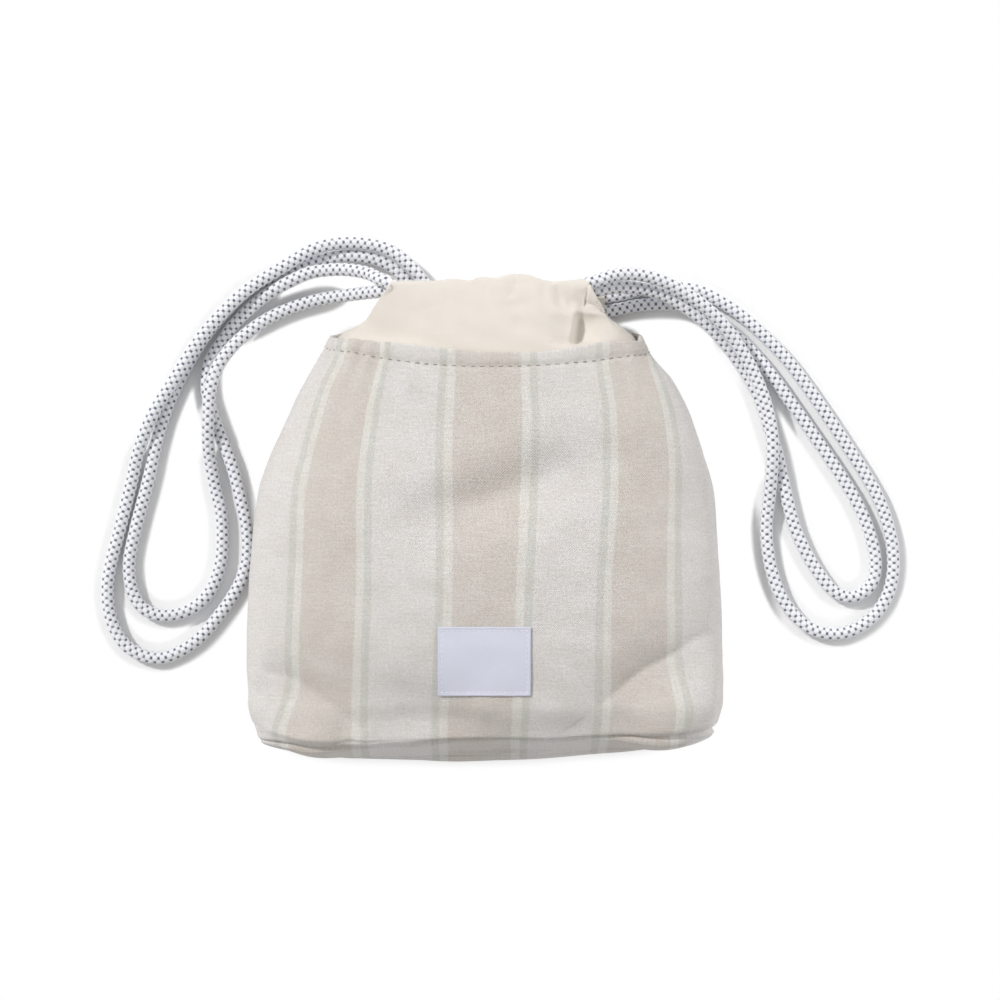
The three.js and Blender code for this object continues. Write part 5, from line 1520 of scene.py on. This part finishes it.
def make_hem_stitches(tree, thread):
    """The top stitching of the turned hem, front and back."""
    size = sizes()
    stitch = {
        "Pitch": size.stitch_pitch, "Length": size.stitch_length, "Width": size.thread_width,
        "Rise": HEM_STITCH_RISE, "Seed": HEM_STITCH_SEED,
    }
    for front, side in ((True, "front"), (False, "back")):
        grid, normals, flat = bag_half(front)
        points, ups = row_at(grid, normals, flat, flat[-1, 0, 1] - HEM_STITCH_DROP)
        points, ups = smoothed_row(points[2:-2], ups[2:-2])
        line = (points + ups * HEM_STITCH_LIFT, ups)
        make_stitches(f"hem_stitches_{side}", f"hem_thread_{side}", [line], tree, thread, stitch)


def make_label_stitches(tree, thread, find):
    """The stitches round the label."""
    left, right = LABEL_LEFT + LABEL_STITCH_INSET, LABEL_RIGHT - LABEL_STITCH_INSET
    low, high = LABEL_BOTTOM + LABEL_STITCH_INSET, LABEL_TOP - LABEL_STITCH_INSET
    corners = [(left, low), (right, low), (right, high), (left, high), (left, low)]
    height = LABEL_LIFT + sizes().label_thickness - LABEL_STITCH_SINK
    shares = np.linspace(0, 1, LABEL_STITCH_POINTS)
    lines = []
    for (x0, y0), (x1, y1) in zip(corners[:-1], corners[1:]):
        found = [find(x0 + (x1 - x0) * t, y0 + (y1 - y0) * t) for t in shares]
        seat, ups = (np.array(values) for values in zip(*found))
        lines.append(smoothed_row(seat + ups * height, ups))
    make_stitches("label_stitches", "label_thread", lines, tree, thread, LABEL_STITCH)


def make_channel_stitches(tree, thread):
    """The row that closes each channel, on the outside of the collar."""
    for front, side in ((True, "front"), (False, "back")):
        grid, q, first, last = collar_half(front)
        shaped = shape_collar(grid, q, first, last, front)
        ups = collar_normals(shaped, front, first, last)
        row, columns = JOIN_ROW - CHANNEL_STITCH_ROWS, slice(first + 3, last - 2)
        points, ups = smoothed_row(shaped[row, columns].copy(), ups[row, columns].copy())
        points = points - ups * CHANNEL_STITCH_SINK[side]
        if not front:
            points[:, 2] = np.maximum(points[:, 2], CHANNEL_STITCH_LEAST_HEIGHT)
        make_stitches(
            f"channel_stitches_{side}", f"casing_thread_{side}", [(points, ups)], tree, thread,
            CHANNEL_STITCH,
        )


def make_seam_stitches(tree, thread):
    """The seams that join front and back, up the sides, along the base and across the corners."""
    shares = np.linspace(*SIDE_SEAM_PART, SIDE_SEAM_POINTS)
    for side, angle, away in (("right", 0.0, 1), ("left", math.pi, -1)):
        points = np.array([wall_points(np.array([angle]), share, True)[0] for share in shares])
        points = tuck_corners(points)
        points[:, 0] -= away * (SEAM_GROOVE_DEPTH + SEAM_INSET)
        ups = np.tile((-away, 0.0, 0.0), (len(points), 1)).astype(float)
        make_stitches(
            f"side_seam_{side}", f"side_seam_thread_{side}", [(points, ups)], tree, thread,
            {**SEAM_STITCH, "Seed": 9},
        )
    angles = even_angles(0.0, True, BASE_SEAM_POINTS)[BASE_SEAM_MARGIN:-BASE_SEAM_MARGIN]
    points = tuck_corners(base_points(angles, 0.0, True))
    points[:, 1] += SEAM_GROOVE_DEPTH + SEAM_INSET
    ups = np.tile((0.0, 1.0, 0.0), (len(points), 1))
    make_stitches(
        "base_seam", "base_seam_thread", [(points, ups)], tree, thread, {**SEAM_STITCH, "Seed": 11},
    )
    depth = LINING_GAP + LINING_CLOTH + CORNER_SEAM_GAP
    turns = np.linspace(*CORNER_SEAM_TURNS, CORNER_SEAM_POINTS)
    for side, angles in (("right", turns), ("left", math.pi - turns)):
        row, beyond = (wall_points(angles, share, True) for share in CORNER_SEAM_SHARES)
        normals = unit(np.cross(np.gradient(row, axis=0), beyond - row))
        normals *= np.sign(normals[:, 2:3])
        points = tuck_corners(row - normals * depth)
        make_stitches(
            f"corner_seam_{side}", f"corner_seam_thread_{side}", [(points, -normals)], tree, thread,
            {**SEAM_STITCH, "Seed": 13},
        )


# The stage. The sun comes from the upper left, a wide soft light from the right, and the world is
# a little brighter above.
SUN_DIRECTION = (0.93, -0.71, -1.0)
SUN_STRENGTH = 2.05
SUN_ANGLE = 4.0
FILL_DIRECTION = (-1.0, -0.25, -0.22)
FILL_STRENGTH = 1.35
FILL_ANGLE = 50.0
WORLD_BRIGHT_SIDE = (-0.25, 0.28, 0.9)
WORLD_LEAST = 0.16
WORLD_MOST = 0.56
SUN_COLOUR = (1.0, 0.99, 0.975)
FILL_COLOUR = (1.0, 1.0, 1.0)
FLOOR_SIZE = 3.0
FLOOR_DROP = 0.0002
SHADOW_REACH = 0.0055
# Boxes on the floor with hardly a shadow, the bag and the collar, as (centre x, half width, lower y,
# upper y).
FAINT_SHADOWS = ((0.0055, 0.1095, -0.2, 0.077), (0.011, 0.033, 0.05, 0.2))
FAINT_EDGE = 0.003


def make_camera():
    """The camera straight above the purse."""
    data = bpy.data.cameras.new("camera")
    data.lens = CAMERA_LENS
    data.sensor_width = CAMERA_SENSOR
    data.clip_end = 10.0
    camera = link_object("camera", data)
    camera.location = CAMERA_PLACE
    bpy.context.scene.camera = camera


def make_floor():
    """A white surface that shows shadows only close to what lies on it."""
    half = FLOOR_SIZE / 2
    finish = Finish("white surface")
    is_camera = finish.add("ShaderNodeLightPath").outputs["Is Camera Ray"]
    diffuse = finish.add("ShaderNodeBsdfDiffuse", {"Color": (*colours().floor, 1.0)}).outputs[0]
    glow = finish.add("ShaderNodeEmission", {"Color": WHITE, "Strength": 1.0}).outputs[0]
    nearby = finish.add("ShaderNodeAmbientOcclusion", {"Distance": SHADOW_REACH}, samples=16)
    open_sky = nearby.outputs["AO"]
    place = finish.add("ShaderNodeTexCoord").outputs["Object"]
    split = finish.add("ShaderNodeSeparateXYZ", {"Vector": place})
    x, y = split.outputs[0], split.outputs[1]
    faint = 0.0
    for centre, half_width, low, high in FAINT_SHADOWS:
        from_centre = finish.math("ABSOLUTE", finish.math("SUBTRACT", x, centre))
        across = finish.range(from_centre, half_width - FAINT_EDGE, half_width + FAINT_EDGE, 1.0, 0.0)
        under = finish.range(y, high - FAINT_EDGE, high + FAINT_EDGE, 1.0, 0.0)
        above = finish.range(y, low - FAINT_EDGE, low + FAINT_EDGE, 0.0, 1.0)
        inside = finish.math("MULTIPLY", across, finish.math("MULTIPLY", under, above))
        faint = finish.math("MAXIMUM", faint, inside)
    clear_share = finish.range(open_sky, 0.84, 0.94, 0.0, 1.0)
    faint_share = finish.range(open_sky, 0.5, 0.97, 0.72, 1.0)
    shares = {0: faint, 2: clear_share, 3: faint_share}
    kept = finish.add("ShaderNodeMix", shares, data_type="FLOAT").outputs[0]
    share = finish.math("MULTIPLY", is_camera, kept)
    mixed = finish.add("ShaderNodeMixShader", {0: share, 1: diffuse, 2: glow}).outputs[0]
    finish.add("ShaderNodeOutputMaterial", {"Surface": mixed})
    mesh = bpy.data.meshes.new("floor")
    corners = [(-half, -half, 0), (half, -half, 0), (half, half, 0), (-half, half, 0)]
    mesh.from_pydata(corners, [], [(0, 1, 2, 3)])
    mesh.materials.append(finish.material)
    floor = link_object("floor", mesh)
    floor.location = (0, 0, -FLOOR_DROP)
    return floor


def make_sun(name, direction, strength, angle, colour):
    """A sun whose light travels in a direction."""
    data = bpy.data.lights.new(name, "SUN")
    data.energy = strength
    data.angle = math.radians(angle)
    data.color = colour
    sun = link_object(name, data)
    sun.rotation_euler = Vector(direction).to_track_quat("-Z", "Y").to_euler()
    return sun


def make_world():
    """A white world that lights the purse more from its bright side."""
    world = bpy.data.worlds.new("white world")
    world.use_nodes = True
    tree = world.node_tree
    tree.nodes.clear()
    path = add_node(tree, "ShaderNodeLightPath").outputs
    seen = add_node(
        tree, "ShaderNodeMath", {0: path["Is Camera Ray"], 1: path["Is Glossy Ray"]}, operation="MAXIMUM",
    ).outputs[0]
    way = add_node(tree, "ShaderNodeTexCoord").outputs["Generated"]
    bright_side = Vector(WORLD_BRIGHT_SIDE).normalized()
    towards = add_node(
        tree, "ShaderNodeVectorMath", {0: way, 1: bright_side}, operation="DOT_PRODUCT",
    ).outputs["Value"]
    light = add_node(tree, "ShaderNodeMapRange", {
        "Value": towards, "From Min": -1.0, "From Max": 1.0, "To Min": WORLD_LEAST, "To Max": WORLD_MOST,
    }).outputs[0]
    level = add_node(tree, "ShaderNodeMapRange", {"Value": seen, "To Min": light, "To Max": 1.0}).outputs[0]
    background = add_node(tree, "ShaderNodeBackground", {"Color": WHITE, "Strength": level})
    add_node(tree, "ShaderNodeOutputWorld", {"Surface": background.outputs[0]})
    bpy.context.scene.world = world


# The operators.
class PURSE_OT_stage(bpy.types.Operator):
    """Set up the camera, the white surface and the lights"""

    bl_idname = "purse.stage"
    bl_label = "Stage"

    def execute(self, context):
        make_camera()
        make_world()
        sun = make_sun("sun", SUN_DIRECTION, SUN_STRENGTH, SUN_ANGLE, SUN_COLOUR)
        fill = make_sun("fill", FILL_DIRECTION, FILL_STRENGTH, FILL_ANGLE, FILL_COLOUR)
        make_floor()
        context.scene.view_settings.view_transform = "Standard"
        return {"FINISHED"}


class PURSE_OT_cords(bpy.types.Operator):
    """Build the two rings of braided cord"""

    bl_idname = "purse.cords"
    bl_label = "Cords"

    def execute(self, context):
        braid = braided_cord()
        for side in ("left", "right"):
            for ring in ("outer", "inner"):
                make_ring_side(ring, side, braid)
        make_hidden_cords(braid)
        return {"FINISHED"}


class PURSE_OT_outer_cloth(bpy.types.Operator):
    """Build the striped front and back of the bag"""

    bl_idname = "purse.outer_cloth"
    bl_label = "Outer cloth"

    def execute(self, context):
        cloth = striped_cloth()
        for front, side in ((True, "front"), (False, "back")):
            piece = make_cloth_half(f"cloth_{side}", front, f"outer_{side}", cloth)
        return {"FINISHED"}


class PURSE_OT_lining(bpy.types.Operator):
    """Build the lining"""

    bl_idname = "purse.lining"
    bl_label = "Lining"

    def execute(self, context):
        cotton = plain_cotton("lining cotton", colours().lining)
        for front, side in ((True, "front"), (False, "back")):
            piece = make_lining_half(f"lining_cloth_{side}", front, f"lining_{side}", cotton)
        return {"FINISHED"}


class PURSE_OT_collar(bpy.types.Operator):
    """Build the gathered collar with its two cord channels"""

    bl_idname = "purse.collar"
    bl_label = "Collar"

    def execute(self, context):
        cotton = plain_cotton("collar cotton", colours().collar)
        for front, side in ((True, "front"), (False, "back")):
            piece = make_collar_half(f"gathered_collar_{side}", front, f"collar_{side}", cotton)
        return {"FINISHED"}


class PURSE_OT_label(bpy.types.Operator):
    """Build the woven label"""

    bl_idname = "purse.label"
    bl_label = "Label"

    def execute(self, context):
        make_label(woven_label())
        return {"FINISHED"}


class PURSE_OT_stitches(bpy.types.Operator):
    """Sew the hem, the label, the channels and the seams"""

    bl_idname = "purse.stitches"
    bl_label = "Stitches"

    def execute(self, context):
        tree = stitch_tree()
        hem_thread = spun_thread("hem thread", colours().hem_thread)
        label_thread = spun_thread("label thread", colours().label_thread)
        make_hem_stitches(tree, hem_thread)
        make_channel_stitches(tree, spun_thread("collar thread", colours().collar))
        make_seam_stitches(tree, hem_thread)
        make_label_stitches(tree, label_thread, front_surface())
        return {"FINISHED"}


class PURSE_PT_panel(bpy.types.Panel):
    """Sizes, colours and pieces of the purse"""

    bl_idname = "PURSE_PT_panel"
    bl_label = "Drawstring purse"
    bl_space_type = "VIEW_3D"
    bl_region_type = "UI"
    bl_category = "Purse"

    def draw(self, context):
        for group, kind in ((sizes(), PurseSizes), (colours(), PurseColours)):
            box = self.layout.box()
            for name in kind.__annotations__:
                box.prop(group, name)
        for operator in OPERATORS:
            self.layout.operator(operator.bl_idname)


OPERATORS = (
    PURSE_OT_stage, PURSE_OT_cords, PURSE_OT_outer_cloth, PURSE_OT_lining, PURSE_OT_collar,
    PURSE_OT_label, PURSE_OT_stitches,
)
CLASSES = (PurseSizes, PurseColours, *OPERATORS, PURSE_PT_panel)


def register():
    """Registers the add-on."""
    for kind in CLASSES:
        bpy.utils.register_class(kind)
    bpy.types.Scene.purse_sizes = PointerProperty(type=PurseSizes)
    bpy.types.Scene.purse_colours = PointerProperty(type=PurseColours)


def unregister():
    """Removes the add-on."""
    del bpy.types.Scene.purse_sizes
    del bpy.types.Scene.purse_colours
    for kind in reversed(CLASSES):
        bpy.utils.unregister_class(kind)


def main():
    """Builds the purse."""
    register()
    bpy.ops.purse.stage()
    bpy.ops.purse.cords()
    bpy.ops.purse.outer_cloth()
    bpy.ops.purse.lining()
    bpy.ops.purse.collar()
    bpy.ops.purse.label()
    bpy.ops.purse.stitches()


if __name__ == "__main__":
    main()
